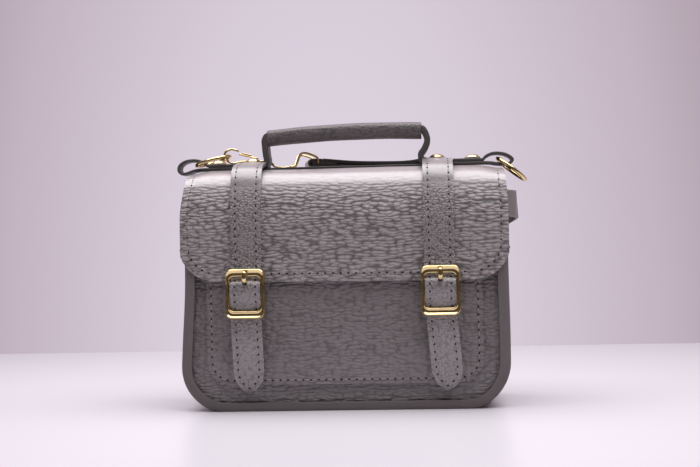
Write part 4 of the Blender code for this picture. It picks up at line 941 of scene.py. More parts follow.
def body_outline(inset, top, step=OUTLINE_STEP, corner_steps=26):
    """Points and outward directions down one side, under the base and up the other, in X and Z."""
    half = HALF_WIDTH - inset
    radius = CORNER_RADIUS - inset
    upright = round((top - inset - radius) / step)
    points = [(-half, between(top, inset + radius, number / upright), -1, 0) for number in range(upright)]
    for number in range(corner_steps):
        angle = math.pi + math.pi / 2 * number / corner_steps
        points.append((-half + radius + radius * math.cos(angle), inset + radius + radius * math.sin(angle),
                       math.cos(angle), math.sin(angle)))
    flat = round((half - radius) / step)
    points += [(-(half - radius) * (1 - number / flat), inset, 0, -1) for number in range(flat)]
    return points + [(0, inset, 0, -1)] + [(-x, z, -out, up) for x, z, out, up in reversed(points)]


def side_offset(z, depth_share):
    """How far a side wall stands out of its true plane: swollen below, falling in at the rim's middle."""
    middle = 1 - depth_share * depth_share
    swell = SIDE_SWELL * math.exp(-((z - SWELL_Z) / SWELL_REACH) ** 2) * (0.5 + 0.5 * middle)
    fall = RIM_FALL * middle * smooth_step((z - RIM_FALL_FROM) / (RIM_HEIGHT - RIM_FALL_FROM))
    return swell - fall


# %% Lay the gusset
BODY_OUTLINE = body_outline(0, RIM_HEIGHT)


def gusset_profile():
    """Across the gusset: how far in from the outline, and the distance from the bag's middle."""
    across = [(between(BAND_WIDTH, BAND_ROLL, number / 4), -HALF_DEPTH) for number in range(4)]
    for number in range(9):
        angle = math.pi / 2 * number / 8
        across.append((BAND_ROLL * (1 - math.sin(angle)), -HALF_DEPTH + BAND_ROLL * (1 - math.cos(angle))))
    wall = [(0, between(-HALF_DEPTH + BAND_ROLL, 0, number / 14)) for number in range(1, 15)]
    return across + wall + [(inset, -y) for inset, y in reversed(across + wall[:-1])]


PROFILE = gusset_profile()


def gusset_point(u, v):
    x, z, out, up = BODY_OUTLINE[round(u * (len(BODY_OUTLINE) - 1))]
    inset, y = PROFILE[round(v * (len(PROFILE) - 1))]
    point = Vector((x - out * inset, y, z - up * inset))
    side = side_offset(z, y / HALF_DEPTH) * abs(out) + GUSSET_SWAY * sway(y + x, z, GUSSET_SEED)
    point.x += side * (1 if x > 0 else -1) * (1 if abs(out) > 0.5 else 0)
    if abs(y) >= HALF_DEPTH - FACE_NEAR:
        bead = smooth_step((BEAD_HALF - abs(inset - BEAD_INSET)) / BEAD_HALF)
        point.y += BEAD_RISE * bead * (1 if y < 0 else -1)
    point.z = max(point.z, 0.0)
    return point


profile_lengths = [0]
for one, two in zip(PROFILE, PROFILE[1:]):
    profile_lengths.append(profile_lengths[-1] + math.dist(one, two))


def gusset_uv(u, v):
    along = u * (len(BODY_OUTLINE) - 1) * OUTLINE_STEP
    return profile_lengths[round(v * (len(PROFILE) - 1))], along


gusset = lay_grid("gusset_skin", len(BODY_OUTLINE) - 1, len(PROFILE) - 1, gusset_point, gusset_uv)
thicken(gusset, GUSSET_THICK, [BAND_LEATHER, EDGE_PAINT, BACKING])
lean_back(gusset)
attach(gusset, "bag")
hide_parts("gusset")
print("gusset laid,", len(gusset.data.polygons), "faces")

# %% [markdown]
# The front and back panels are flat pieces of leather tucked behind the band, and the front pocket lies on
# the front one. A panel starts as a grid too: its columns end on an outline with two rounded lower corners.
# The pocket's middle is a little full and its border is drawn down along the stitching.

# %% Lay the panels and the pocket
PANEL_INSET = 0.0030
PANEL_FACE = -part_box("front_panel")[0].y
PANEL_THICK = 0.0016
POCKET_RADIUS = 0.015
POCKET_ROW_INSET = 0.0028
POCKET_FULL = 0.0004
POCKET_FULL_RUN = 0.020
PANEL_STEP = 0.0014
PANEL_EDGE_ROUND = 0.00045
PANEL_SWAY = 0.3
PANEL_SEED = 21.0
POCKET_SWAY = 0.5
POCKET_SEED = 33.0


def rounded_foot(x, half, foot, radius):
    out = min(max(abs(x) - (half - radius), 0) / radius, 1)
    return foot + radius * (1 - math.sqrt(max(1 - out * out, 0)))


def lay_panel(name, half, foot, top, radius, face, side, finish, surface, thickness):
    """An upright panel at y = side * face, its lower corners rounded; surface(x, z) is its relief."""
    shares = cross_shares(half, radius, PANEL_STEP, corner_steps=12)

    def place(u, v):
        x = shares[round(v * (len(shares) - 1))] * half
        z = between(top, rounded_foot(x, half, foot, radius), u)
        return Vector((x, side * (face + surface(x, z)), z))

    def uv_of(u, v):
        point = place(u, v)
        return point.x, point.z

    panel = lay_grid(name, round((top - foot) / PANEL_STEP), len(shares) - 1, place, uv_of)
    if side > 0:
        flip_faces(panel)
    thicken(panel, thickness, [finish, EDGE_PAINT, BACKING], round_off=PANEL_EDGE_ROUND)
    lean_back(panel)
    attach(panel, "bag")
    print(name, "laid,", len(panel.data.polygons), "faces")
    return panel


def panel_surface(x, z):
    return PANEL_SWAY * sway(x, z, PANEL_SEED)


def pocket_surface(x, z):
    """How far the pocket's front stands out of its plane: full in the middle, drawn down at its border."""
    edge = min(POCKET_HALF - abs(x), z - rounded_foot(x, POCKET_HALF, pocket_low.z, POCKET_RADIUS))
    full = POCKET_FULL * smooth_step(edge / POCKET_FULL_RUN)
    return full - row_sink(edge, POCKET_ROW_INSET) + POCKET_SWAY * sway(x, z, POCKET_SEED)


POCKET_HALF = pocket_high.x
panel_half = HALF_WIDTH - PANEL_INSET
for name, side in (("front_panel", -1), ("back_panel", 1)):
    panel = lay_panel(f"{name}_skin", panel_half, PANEL_INSET, RIM_HEIGHT, CORNER_RADIUS - PANEL_INSET,
                      PANEL_FACE, side, PANEL_LEATHER, panel_surface, PANEL_THICK)
    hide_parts(name)
pocket = lay_panel("front_pocket_skin", POCKET_HALF, pocket_low.z, pocket_high.z, POCKET_RADIUS,
                   POCKET_FACE, -1, PANEL_LEATHER, pocket_surface, pocket_high.y - pocket_low.y)
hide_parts("front_pocket")

# %% [markdown]
# Inside, a box of woven lining cloth covers the panels and the gusset, over a stiff board that keeps the
# base flat. The weave is two crossed waves, one level and one slanting.

# %% Line the inside
LINING_INSET = 0.0018
LINING_SLACK = 0.0004
LINING_STEP = 0.0040
LINING_THICK = 0.0008
LINING_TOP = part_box("lining")[1].z


def woven(name, color, pitch):
    """Plain weave from two crossed wave textures on Object coordinates; pitch is a thread's width."""
    material, nodes, links = new_material(name)
    shader = nodes["Principled BSDF"]
    place = add_node(nodes, "ShaderNodeTexCoord")
    waves = []
    for direction in ("DIAGONAL", "Z"):
        wave = add_node(nodes, "ShaderNodeTexWave", bands_direction=direction, Scale=0.5 / pitch)
        wave.inputs["Distortion"].default_value = 0.4
        links.new(place.outputs["Object"], wave.inputs["Vector"])
        waves.append(wave)
    cross = add_node(nodes, "ShaderNodeMath", operation="MAXIMUM")
    links.new(waves[0].outputs["Fac"], cross.inputs[0])
    links.new(waves[1].outputs["Fac"], cross.inputs[1])
    tone = color_ramp(nodes, links, cross.outputs[0], [(0.2, scaled(color, 0.6)), (0.9, color)])
    links.new(tone.outputs[0], shader.inputs["Base Color"])
    bump = add_node(nodes, "ShaderNodeBump", Strength=0.7, Distance=0.0002)
    links.new(cross.outputs[0], bump.inputs["Height"])
    links.new(bump.outputs[0], shader.inputs["Normal"])
    shader.inputs["Roughness"].default_value = 0.9
    shader.inputs["Sheen Weight"].default_value = 0.3
    return material


LINING_CLOTH = woven("lining cloth", (0.16, 0.14, 0.14), 0.0006)
lining_outline = body_outline(LINING_INSET, LINING_TOP, step=LINING_STEP, corner_steps=12)
lining_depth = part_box("lining")[1].y - 0.0002


def lining_point(u, v):
    x, z, out, up = lining_outline[round(u * (len(lining_outline) - 1))]
    y = between(-lining_depth, lining_depth, v)
    inward = LINING_SLACK
    if z > RIM_FALL_FROM:
        inward -= side_offset(z, y / HALF_DEPTH) * abs(out)
    return Vector((x - out * max(inward, 0), y, z))


lining = lay_grid("lining_cloth", len(lining_outline) - 1, 18, lining_point, lambda u, v: (v, u))
work_on(lining)
for edge_y in (-lining_depth, lining_depth):
    bpy.ops.object.mode_set(mode="EDIT")
    bpy.ops.mesh.select_all(action="DESELECT")
    bpy.ops.object.mode_set(mode="OBJECT")
    for edge in lining.data.edges:
        ends = [lining.data.vertices[index].co for index in edge.vertices]
        edge.select = all(abs(end.y - edge_y) < 0.00001 for end in ends)
    bpy.ops.object.mode_set(mode="EDIT")
    bpy.ops.mesh.edge_face_add()
    bpy.ops.object.mode_set(mode="OBJECT")
thicken(lining, LINING_THICK, [LINING_CLOTH], round_off=0)
lean_back(lining)
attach(lining, "bag")
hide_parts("lining")
print("lining laid,", len(lining.data.polygons), "faces")

# %% [markdown]
# Everything is sewn with a pale, slightly thick thread: a bump of thread between two slit holes, again and
# again at one pitch. One stitch is modelled from two flattened spheres, the thread and a dark patch whose
# colour is painted shade inside the hole, and copied along each row. A row is a path on a surface, so its
# stitches turn with the leather they hold.

# %% Model one stitch
STITCH_PITCH = 0.0047
THREAD_LENGTH = 0.0031
THREAD_WIDTH = 0.00100
THREAD_RISE = 0.00038
HOLE_LENGTH = 0.00170
HOLE_WIDTH = 0.00125
HOLE_RISE = 0.00018


def flattened_ball(name, length, width, rise, segments, rings, finish):
    """A sphere primitive scaled in edit mode to a long low bump, along X and rising along Z."""
    ball = start_from(bpy.ops.mesh.primitive_uv_sphere_add, segments=segments, ring_count=rings, radius=0.5)
    ball.name = name
    edit_all(ball)
    bpy.ops.transform.resize(value=(length, width, 2 * rise))
    bpy.ops.object.mode_set(mode="OBJECT")
    bpy.ops.object.shade_smooth()
    ball.data.materials.append(finish)
    return ball


thread_bump = flattened_ball("thread_bump", THREAD_LENGTH, THREAD_WIDTH, THREAD_RISE, 8, 6, THREAD)
slit_hole_shade = flattened_ball("slit_hole_shade", HOLE_LENGTH, HOLE_WIDTH, HOLE_RISE, 8, 4, HOLE_SHADE)
THREAD_MESH = thread_bump.data
HOLE_SHADE_MESH = slit_hole_shade.data
bpy.data.objects.remove(thread_bump)
bpy.data.objects.remove(slit_hole_shade)
print("one stitch has", len(THREAD_MESH.polygons) + len(HOLE_SHADE_MESH.polygons), "faces")


# %% Sew rows of stitches
SLOPE_REACH = 0.0004
PATH_STEP = 0.001


def row_on(surface, path, outward):
    """Points and normals at the stitch pitch along a path of surface coordinates; outward is 1 or -1."""
    fine = []
    for (a, b), (next_a, next_b) in zip(path, path[1:]):
        pieces = max(1, round(math.dist((a, b), (next_a, next_b)) / PATH_STEP))
        fine += [(between(a, next_a, piece / pieces), between(b, next_b, piece / pieces))
                 for piece in range(pieces)]
    fine.append(path[-1])
    points = []
    normals = []
    for a, b in fine:
        slope_a = surface(a + SLOPE_REACH, b) - surface(a - SLOPE_REACH, b)
        slope_b = surface(a, b + SLOPE_REACH) - surface(a, b - SLOPE_REACH)
        points.append(surface(a, b))
        normals.append(slope_a.cross(slope_b).normalized() * outward)
    return [(points[place].lerp(points[place + 1], share), normals[place])
            for place, share in even_stops(points, STITCH_PITCH)]


def stand_at(point, along, normal, turn=0.0):
    """A matrix that lays a stitch at point, its length along the row and its rise along the normal."""
    along = (along - normal * along.dot(normal)).normalized()
    side = normal.cross(along)
    matrix = Matrix((along, side, normal)).transposed().to_4x4()
    matrix.translation = point
    return matrix @ Matrix.Rotation(turn, 4, "Z")


def sew(name, rows, slant=0.0):
    """All the stitches of one piece as one object; rows are lists of (point, normal)."""
    shape = bmesh.new()

    def add_copy(mesh, matrix, slot_number):
        start = len(shape.verts)
        faces = len(shape.faces)
        shape.from_mesh(mesh)
        shape.verts.ensure_lookup_table()
        shape.faces.ensure_lookup_table()
        bmesh.ops.transform(shape, matrix=matrix, verts=shape.verts[start:])
        for face in shape.faces[faces:]:
            face.material_index = slot_number

    for row in rows:
        for index, (point, normal) in enumerate(row):
            ahead = row[min(index + 1, len(row) - 1)][0] - row[max(index - 1, 0)][0]
            # The dark patch at each hole is painted shade.
            add_copy(HOLE_SHADE_MESH, stand_at(point, ahead, normal, slant * 2), 1)
            if index + 1 < len(row):
                other, other_normal = row[index + 1]
                middle_normal = (normal + other_normal).normalized()
                middle = point.lerp(other, 0.5)
                add_copy(THREAD_MESH, stand_at(middle, other - point, middle_normal, slant), 0)
    mesh = bpy.data.meshes.new(name)
    shape.to_mesh(mesh)
    shape.free()
    mesh.materials.append(THREAD)
    mesh.materials.append(HOLE_SHADE)
    stitches = bpy.data.objects.new(name, mesh)
    bpy.context.scene.collection.objects.link(stitches)
    print(name, "sewn,", sum(len(row) - 1 for row in rows), "stitches")
    return stitches


# %% Sew the flap
TOP_ROW_START = 0.0115
FORE_ROW_STEP = 0.002
REAR_ROW_STEP = 0.003
ROW_TURNS_BEFORE = 0.001
FOOT_ROW_START = 0.08
FOOT_ROW_STEP = 0.004
CORNER_FROM_S = 0.06
FLAP_SLANT = 0.10
REAR_ROW_INSET = 0.0035
REAR_ROW_HALF = 0.0956


def flap_at(x, s):
    return flap_surface(x / flap_half(s), s)


def side_row(start, step, count, end):
    """A row down the flap's right side, as x and s, from start to end."""
    places = [start + step * number for number in range(count)]
    return [(flap_half(s) - FLAP_ROW_INSET, s) for s in places if abs(s) < abs(end)]


def right_row():
    """Down the front's right side and round its corner."""
    corner = HALF_WIDTH - FLAP_CORNER
    path = side_row(TOP_ROW_START, FORE_ROW_STEP, 30, section_s(flap_foot(HALF_WIDTH) + ROW_TURNS_BEFORE))
    for number in range(13):
        angle = math.pi / 2 * number / 12
        x = corner + (FLAP_CORNER - FLAP_ROW_INSET) * math.cos(angle)
        drop = (FLAP_CORNER - FLAP_FOOT_ROW) * (1 - math.sin(angle))
        path.append((x, section_s(flap_foot(corner) + FLAP_FOOT_ROW + drop)))
    return path


right_half = right_row()
foot_row = [(x, section_s(flap_foot(x) + FLAP_FOOT_ROW)) for x in
            [FOOT_ROW_START - FOOT_ROW_STEP * number for number in range(41)]]
left_shift = flap_foot(HALF_WIDTH - FLAP_CORNER) - flap_foot(FLAP_CORNER - HALF_WIDTH)
left_half = [(-x, s + left_shift if s > CORNER_FROM_S else s) for x, s in reversed(right_half)]
fore_row = row_on(flap_at, right_half + foot_row + left_half, -1)
fore_stitches = sew("flap_fore_stitches", [fore_row], slant=FLAP_SLANT)
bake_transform(fore_stitches)
rear_foot = -(HINGE_S + HEM_LENGTH - REAR_ROW_INSET)
rear_side = side_row(-TOP_ROW_START, -REAR_ROW_STEP, 20, rear_foot + 0.002)
rear_path = (rear_side + [(REAR_ROW_HALF * (1 - number / 10), rear_foot) for number in range(21)]
             + [(-x, s) for x, s in reversed(rear_side)])
rear_stitches = sew("flap_rear_stitches", [row_on(flap_at, rear_path, -1)])
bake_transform(rear_stitches)


# %% Sew the straps
STRAP_ROW_START = 0.0075
STRAP_ROW_END = 0.004
TIP_STITCH = 0.0002
SLOPE_STEP = 0.0002


def strap_row(start, end, edge):
    """Surface coordinates (share across, s) of one row; edge is -1 or 1."""
    path = []
    steps = round(abs(end - start) / PATH_STEP)
    for number in range(steps + 1):
        s = between(start, end, number / steps)
        slope = 0
        if s > HINGE_S:
            z = height_at(s)
            slope = (strap_half(z + SLOPE_STEP) - strap_half(z - SLOPE_STEP)) / (2 * SLOPE_STEP)
        share = 1 - STRAP_ROW_INSET * math.sqrt(1 + slope * slope) / strap_half_at(s)
        if share < 0:
            break
        path.append((edge * share, s))
    return path


for side, tag in SIDES:
    def strap_at(across, s, side=side, tag=tag):
        return strap_point(side, tag, s, across)

    down = strap_row(STRAP_ROW_START, STRAP_TIP_S, -1)
    up = strap_row(STRAP_ROW_START, STRAP_TIP_S, 1)
    tip_s = max(down[-1][1], up[-1][1]) + TIP_STITCH
    fore_row = row_on(strap_at, down + [(0, tip_s)] + up[::-1], -1)
    stitches = sew(f"strap_fore_stitches_{tag}", [fore_row])
    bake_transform(stitches)
    back_start = -(HINGE_S + HEM_LENGTH - STRAP_ROW_END)
    rear_rows = [row_on(strap_at, strap_row(back_start, -STRAP_ROW_START, edge), -1) for edge in (-1, 1)]
    stitches = sew(f"strap_rear_stitches_{tag}", rear_rows)
    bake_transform(stitches)

# %% Sew the pocket and the bands
BAND_ROW_INSET = 0.0045
ROW_BELOW_TOP = 0.002
THREAD_OVER = 0.00005


def u_path(half, foot, top, radius, inset):
    """Down the right side, round the corners and up the left, at an inset from an outline, as X and Z."""
    inner = radius - inset
    path = [(half - inset, between(top, foot + radius, number / 20)) for number in range(20)]
    for number in range(11):
        angle = math.pi / 2 * number / 10
        path.append((half - radius + inner * math.cos(angle), foot + radius - inner * math.sin(angle)))
    return path + [(-x, z) for x, z in reversed(path)]


pocket_path = u_path(POCKET_HALF, pocket_low.z, pocket_high.z - ROW_BELOW_TOP, POCKET_RADIUS,
                     POCKET_ROW_INSET)
pocket_row = row_on(lambda x, z: Vector((x, -(POCKET_FACE + pocket_surface(x, z)), z)), pocket_path, 1)
stitches = sew("pocket_stitches", [pocket_row])
lean_back(stitches)
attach(stitches, "bag")
band_path = u_path(HALF_WIDTH, 0, RIM_HEIGHT - ROW_BELOW_TOP, CORNER_RADIUS, BAND_ROW_INSET)
for side, tag in ((-1, "front"), (1, "back")):
    out = side * (HALF_DEPTH + THREAD_OVER)
    band_row = row_on(lambda x, z, out=out: Vector((x, out, z)), band_path, -side)
    stitches = sew(f"band_stitches_{tag}", [band_row])
    lean_back(stitches)
    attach(stitches, "bag")

# %% [markdown]
# The clips are bent from polished wire: a hook with a sprung gate, a barrel that lets it turn and a wide eye
# that holds the strap. A wire is a curve given its thickness and turned into a mesh; its ends are rounded by
# shrinking the wire over the last points. Each clip is laid out along X and then stood in its place.

# %% Tools for wires and turned metal
LATHE_STEPS = 28
LATHE_ANGLE = math.radians(40)


def tube(name, points, radius, finish, closed=False, shares=None):
    """A round wire along points, its radius multiplied by shares."""
    curve = bpy.data.curves.new(name, "CURVE")
    curve.dimensions = "3D"
    curve.bevel_depth = radius
    curve.bevel_resolution = 4
    curve.use_fill_caps = not closed
    line = curve.splines.new("POLY")
    line.points.add(len(points) - 1)
    line.use_cyclic_u = closed
    for spot, point, share in zip(line.points, points, shares or [1] * len(points)):
        spot.co = (*point, 1)
        spot.radius = share
    wire = bpy.data.objects.new(name, curve)
    bpy.context.scene.collection.objects.link(wire)
    work_on(wire)
    bpy.ops.object.convert(target="MESH")
    wire = bpy.context.active_object
    wire.data.name = name
    wire.data.materials.clear()
    wire.data.materials.append(finish)
    bpy.ops.object.shade_smooth_by_angle(angle=SMOOTH_ANGLE)
    return wire


def lathe(name, profile, finish):
    """A profile of (radius, height) spun about Z, its ends closed on the axis."""
    mesh = bpy.data.meshes.new(name)
    mesh.from_pydata([(out, 0, up) for out, up in profile], [(n, n + 1) for n in range(len(profile) - 1)], [])
    piece = bpy.data.objects.new(name, mesh)
    bpy.context.scene.collection.objects.link(piece)
    edit_all(piece)
    bpy.ops.mesh.spin(steps=LATHE_STEPS, angle=2 * math.pi, center=(0, 0, 0), axis=(0, 0, 1))
    bpy.ops.mesh.select_all(action="SELECT")
    bpy.ops.mesh.remove_doubles(threshold=0.000002)
    bpy.ops.mesh.normals_make_consistent(inside=False)
    bpy.ops.object.mode_set(mode="OBJECT")
    piece.data.materials.append(finish)
    bpy.ops.object.shade_smooth_by_angle(angle=LATHE_ANGLE)
    return piece


def soft_block(size, rounding, segments):
    """A gold block with rounded edges, its middle at the origin."""
    block = start_from(bpy.ops.mesh.primitive_cube_add, size=1)
    edit_all(block)
    bpy.ops.transform.resize(value=size)
    bpy.ops.mesh.bevel(offset=rounding, segments=segments)
    bpy.ops.object.mode_set(mode="OBJECT")
    block.data.materials.append(GOLD)
    return block


def join_all(pieces):
    """Join pieces into the first of them."""
    bpy.ops.object.select_all(action="DESELECT")
    for piece in pieces:
        piece.select_set(True)
    bpy.context.view_layer.objects.active = pieces[0]
    bpy.ops.object.join()
    return pieces[0]


# %% Bend the two clips
CLIP_WIRE = 0.00075
GATE_WIRE = 0.0006
HOOK_LENGTH = 0.0437
HOOK_RISE = 0.0126
EYE_REACH = 0.0163
EYE_RISE = 0.0090
EYE_BAR_RISE = 0.0024
HOOK_SHAPE = ((0.20, 0.04), (0.26, 0.10), (0.31, 0.30), (0.36, 0.345), (0.53, 0.37), (0.75, 0.35),
              (0.87, 0.28), (0.96, 0.42), (1.0, 0.67), (0.97, 0.90), (0.90, 1.0), (0.82, 0.95),
              (0.785, 0.88))
HOOK_ROOT = 0.0018
HOOK_NECK = 0.0037
HOOK_STEP = 0.0009
COLLAR_SHARE = 1.9
GATE_HINGE = (0.50, 0.37)
GATE_TIP = (0.785, 0.88)
GATE_STOPS = ((0, 0.4), (0.02, 0.85), (0.06, 1), (0.2, 1), (0.4, 1), (0.6, 1), (0.8, 1), (0.94, 1),
              (0.98, 0.85), (1, 0.4))
THUMB_SIZE = (0.0062, 0.0009, 0.0018)
THUMB_ROUND = 0.00035
THUMB_PLACE = 0.62
THUMB_OUT = 0.0006
EYE_ROOT = 0.0015
EYE_STEP = 0.0010
EYE_SHAPE = ((0.13, 0.40, 0.10), (0.21, 0.80, 0.52), (0.30, 0.97, 0.90), (0.42, 1, 1.0), (0.68, 1, 0.91),
             (0.93, 1, 0.70), (1.0, 0.97, 0.52), (1.0, 0.88, EYE_BAR_RISE / EYE_RISE),
             (1.0, 0.45, EYE_BAR_RISE / EYE_RISE))
BARREL_PROFILE = ((0, -0.0016), (0.0014, -0.0016), (0.0020, -0.0012), (0.0020, -0.0003), (0.0017, -0.0001),
                  (0.0017, 0.0001), (0.0020, 0.0003), (0.0020, 0.0012), (0.0014, 0.0016), (0, 0.0016))
NEAR_PLACE = Vector((-0.0355, 0.0130, CROWN_HEIGHT + 0.0018))
NEAR_TURN = math.pi + math.radians(10.8)
far_rows = list(reversed(strap_rows))
FAR_PLACE = Vector((FAR_BAR_X + EYE_REACH, (far_rows[0][0].y + far_rows[0][-1].y) / 2, 0.0023))


def bend_hook(name, matrix):
    """The hook with its collar, whose tip stops just short of the gate's end."""
    path = smooth_path([(HOOK_ROOT, 0, 0), (HOOK_NECK, 0, 0)] +
                       [(HOOK_LENGTH * along, 0, HOOK_RISE * high) for along, high in HOOK_SHAPE], HOOK_STEP)
    shares = [COLLAR_SHARE if point.x < HOOK_NECK and point.z < CLIP_WIRE else 1 for point in path]
    shares[-1] = 0.45
    shares[-2] = 0.85
    hook = tube(name, path, CLIP_WIRE, GOLD, shares=shares)
    hook.data.transform(matrix)
    return hook


def bend_gate(name, matrix):
    """The sprung gate with the small ribbed thumb piece that opens it."""
    apart = CLIP_WIRE + GATE_WIRE + GAP
    hinge = Vector((HOOK_LENGTH * GATE_HINGE[0], 0, HOOK_RISE * GATE_HINGE[1] + apart))
    tip = Vector((HOOK_LENGTH * GATE_TIP[0], 0, HOOK_RISE * GATE_TIP[1] - apart))
    gate = tube(name, [hinge.lerp(tip, stop) for stop, share in GATE_STOPS], GATE_WIRE, GOLD,
                shares=[share for stop, share in GATE_STOPS])
    lean = math.atan2(tip.z - hinge.z, tip.x - hinge.x)
    thumb = soft_block(THUMB_SIZE, THUMB_ROUND, 3)
    bpy.ops.object.shade_smooth_by_angle(angle=SMOOTH_ANGLE)
    middle = hinge.lerp(tip, THUMB_PLACE) + Vector((-math.sin(lean), 0, math.cos(lean))) * THUMB_OUT
    thumb.data.transform(Matrix.Translation(middle) @ Matrix.Rotation(-lean, 4, "Y"))
    gate = join_all([gate, thumb])
    gate.data.transform(matrix)
    return gate


def bend_eye(name, matrix):
    """The wide eye for the strap, and the barrel that the hook turns in."""
    half = SHOULDER_WIDTH / 2 + 2 * GAP + CLIP_WIRE
    bent = [(-EYE_REACH * out, half * wide, EYE_RISE * up) for out, wide, up in EYE_SHAPE]
    right = smooth_path([(-EYE_ROOT, 0, 0)] + bent, EYE_STEP)
    left = [Vector((point.x, -point.y, point.z)) for point in reversed(right[1:])]
    eye = tube(name, right + left, CLIP_WIRE, GOLD, closed=True)
    barrel = lathe(f"{name}_barrel", BARREL_PROFILE, GOLD)
    barrel.data.transform(Matrix.Rotation(math.pi / 2, 4, "Y"))
    eye = join_all([eye, barrel])
    eye.data.transform(matrix)
    return eye


near_matrix = Matrix.Translation(NEAR_PLACE) @ Matrix.Rotation(NEAR_TURN, 4, "Z")
far_matrix = Matrix.Translation(FAR_PLACE)
far_hook_matrix = far_matrix @ Matrix.Rotation(math.pi / 2, 4, "X")
for tag, eye_matrix, hook_matrix, holder in (("near", near_matrix, near_matrix, "flap_upper"),
                                             ("far", far_matrix, far_hook_matrix, "bag")):
    eye = bend_eye(f"eye_{tag}", eye_matrix)
    hook = bend_hook(f"hook_{tag}", hook_matrix)
    gate = bend_gate(f"gate_{tag}", hook_matrix)
    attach(eye, holder)
    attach(hook, f"hook_{tag}")
    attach(gate, f"gate_{tag}")
    for piece, part in ((eye, "eye"), (hook, "hook"), (gate, "gate")):
        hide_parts(f"{tag}_clip_{part}")
    print(tag, "clip bent")

# %% [markdown]
# At each end the strap turns back round its clip's bar and is sewn to itself, about forty millimetres on.
# The far one is on the strap's loose end.

# %% Turn the strap's ends back
FOLD_LENGTH = 0.040
FOLD_CLOSES = 0.015
FOLD_OVERLAP = 0.0006
CORE_WIDTH = 0.98
CORE_STOPS = (0, 0.003, 0.006, 0.009, 0.012)
LAYER_SHARE = 0.97


def fold_back(name, bar, rows, reach):
    """The turned-back end: a loop that reaches past the clip's bar, then a layer below the strap."""
    up = Vector((0, 0, 1))
    across = (rows[0][-1] - rows[0][0]).normalized()
    direction = rows[1][2] - rows[0][2]
    direction = (direction - up * direction.dot(up)).normalized()
    half = across * SHOULDER_WIDTH / 2
    core_rows = [[bar + direction * along - half * CORE_WIDTH, bar + direction * along + half * CORE_WIDTH]
                 for along in (-reach, -reach / 2, *CORE_STOPS)]
    core = strip_along(f"{name}_core", core_rows, [BACKING], 2 * FOLD_TURN - SHOULDER_THICK, columns=2,
                       round_off=0)
    layers = [[rows[0][0] - direction * FOLD_OVERLAP, rows[0][-1] - direction * FOLD_OVERLAP]]
    for step in range(13):
        angle = math.pi / 2 + math.pi * step / 12
        middle = bar + direction * (FOLD_TURN * math.cos(angle) - reach) + up * FOLD_TURN * math.sin(angle)
        layers.append([middle - half, middle + half])
    run = 0
    for before, row in zip(rows, rows[1:]):
        run += (row[2] - before[2]).length
        if run > FOLD_LENGTH:
            break
        apart = between(2 * FOLD_TURN, SHOULDER_THICK + 2 * GAP, smooth_step(run / FOLD_CLOSES))
        layers.append([row[0] - up * apart, row[-1] - up * apart])
    fold = strip_along(name, layers, [STRAP_LEATHER, EDGE_PAINT, STRAP_LEATHER],
                       SHOULDER_THICK * LAYER_SHARE)
    return join_all([fold, core])


near_bar = near_matrix @ Vector((-EYE_REACH, 0, EYE_BAR_RISE))
far_bar = far_matrix @ Vector((-EYE_REACH, 0, EYE_BAR_RISE))
near_fold = fold_back("fold_near", near_bar, strap_rows, 0.0038)
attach(near_fold, "flap_upper")
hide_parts("strap_fold_near")
far_fold = fold_back("fold_far", far_bar, far_rows, 0.0006)
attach(far_fold, "bag")
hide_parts("strap_fold_far")
tuple(strap_line[0])
[tuple(point) for point in strap_line]

# %% [markdown]
# The handle is a filled leather roll between two folded straps. Each strap is glued from two layers, goes
# down to the flap in a soft S and turns outwards under the vertical strap, where a rivet holds it. The roll
# hangs a little lower on one side, as worn handles do.

# %% Roll the grip
GRIP_LENGTH = 0.0988
GRIP_Z = 0.1726
GRIP_CROWN = 0.0017
GRIP_LEAN = 0.0013
GRIP_HALF_HIGH = 0.0053
GRIP_HALF_WIDE = 0.0074
GRIP_RAISED = 0.0006
GRIP_SQUARE = 0.66
GRIP_AROUND = 0.042
GRIP_END_ROUND = 0.0006


def grip_middle(share):
    return GRIP_Z + GRIP_RAISED + GRIP_LEAN * share - GRIP_CROWN * share * share


def grip_point(u, v):
    share = 2 * u - 1
    angle = 2 * math.pi * (v - 0.25)
    size = 0.96 + 0.03 * u + 0.012 * math.sin(9 * share)
    out = math.copysign(abs(math.cos(angle)) ** GRIP_SQUARE, math.cos(angle)) * GRIP_HALF_WIDE
    up = math.copysign(abs(math.sin(angle)) ** GRIP_SQUARE, math.sin(angle)) * GRIP_HALF_HIGH * size
    return Vector((share * GRIP_LENGTH / 2, -out, grip_middle(share) + up))


def close_roll(piece):
    """Join the long edges of a rolled skin and fill its two ends."""
    edit_all(piece)
    bpy.ops.mesh.remove_doubles(threshold=0.00001)
    bpy.ops.mesh.fill_holes(sides=0)
    bpy.ops.mesh.normals_make_consistent(inside=False)
    bpy.ops.object.mode_set(mode="OBJECT")


grip = lay_grid("grip", 60, 32, grip_point, lambda u, v: (u * GRIP_LENGTH, v * GRIP_AROUND))
close_roll(grip)
grip.data.materials.append(GRIP_LEATHER)
end_edge = grip.modifiers.new("ends", "BEVEL")
end_edge.width = GRIP_END_ROUND
end_edge.segments = 3
end_edge.limit_method = "ANGLE"
end_edge.angle_limit = SHARP_ANGLE
apply_all(grip)
bpy.ops.object.shade_smooth_by_angle(angle=SMOOTH_ANGLE)
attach(grip, "grip")
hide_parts("handle_grip")
seam_row = row_on(grip_point, [(0.012 + 0.976 * number / 40, 0.02) for number in range(41)], 1)
grip_stitches = sew("grip_stitches", [seam_row])
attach(grip_stitches, "grip")

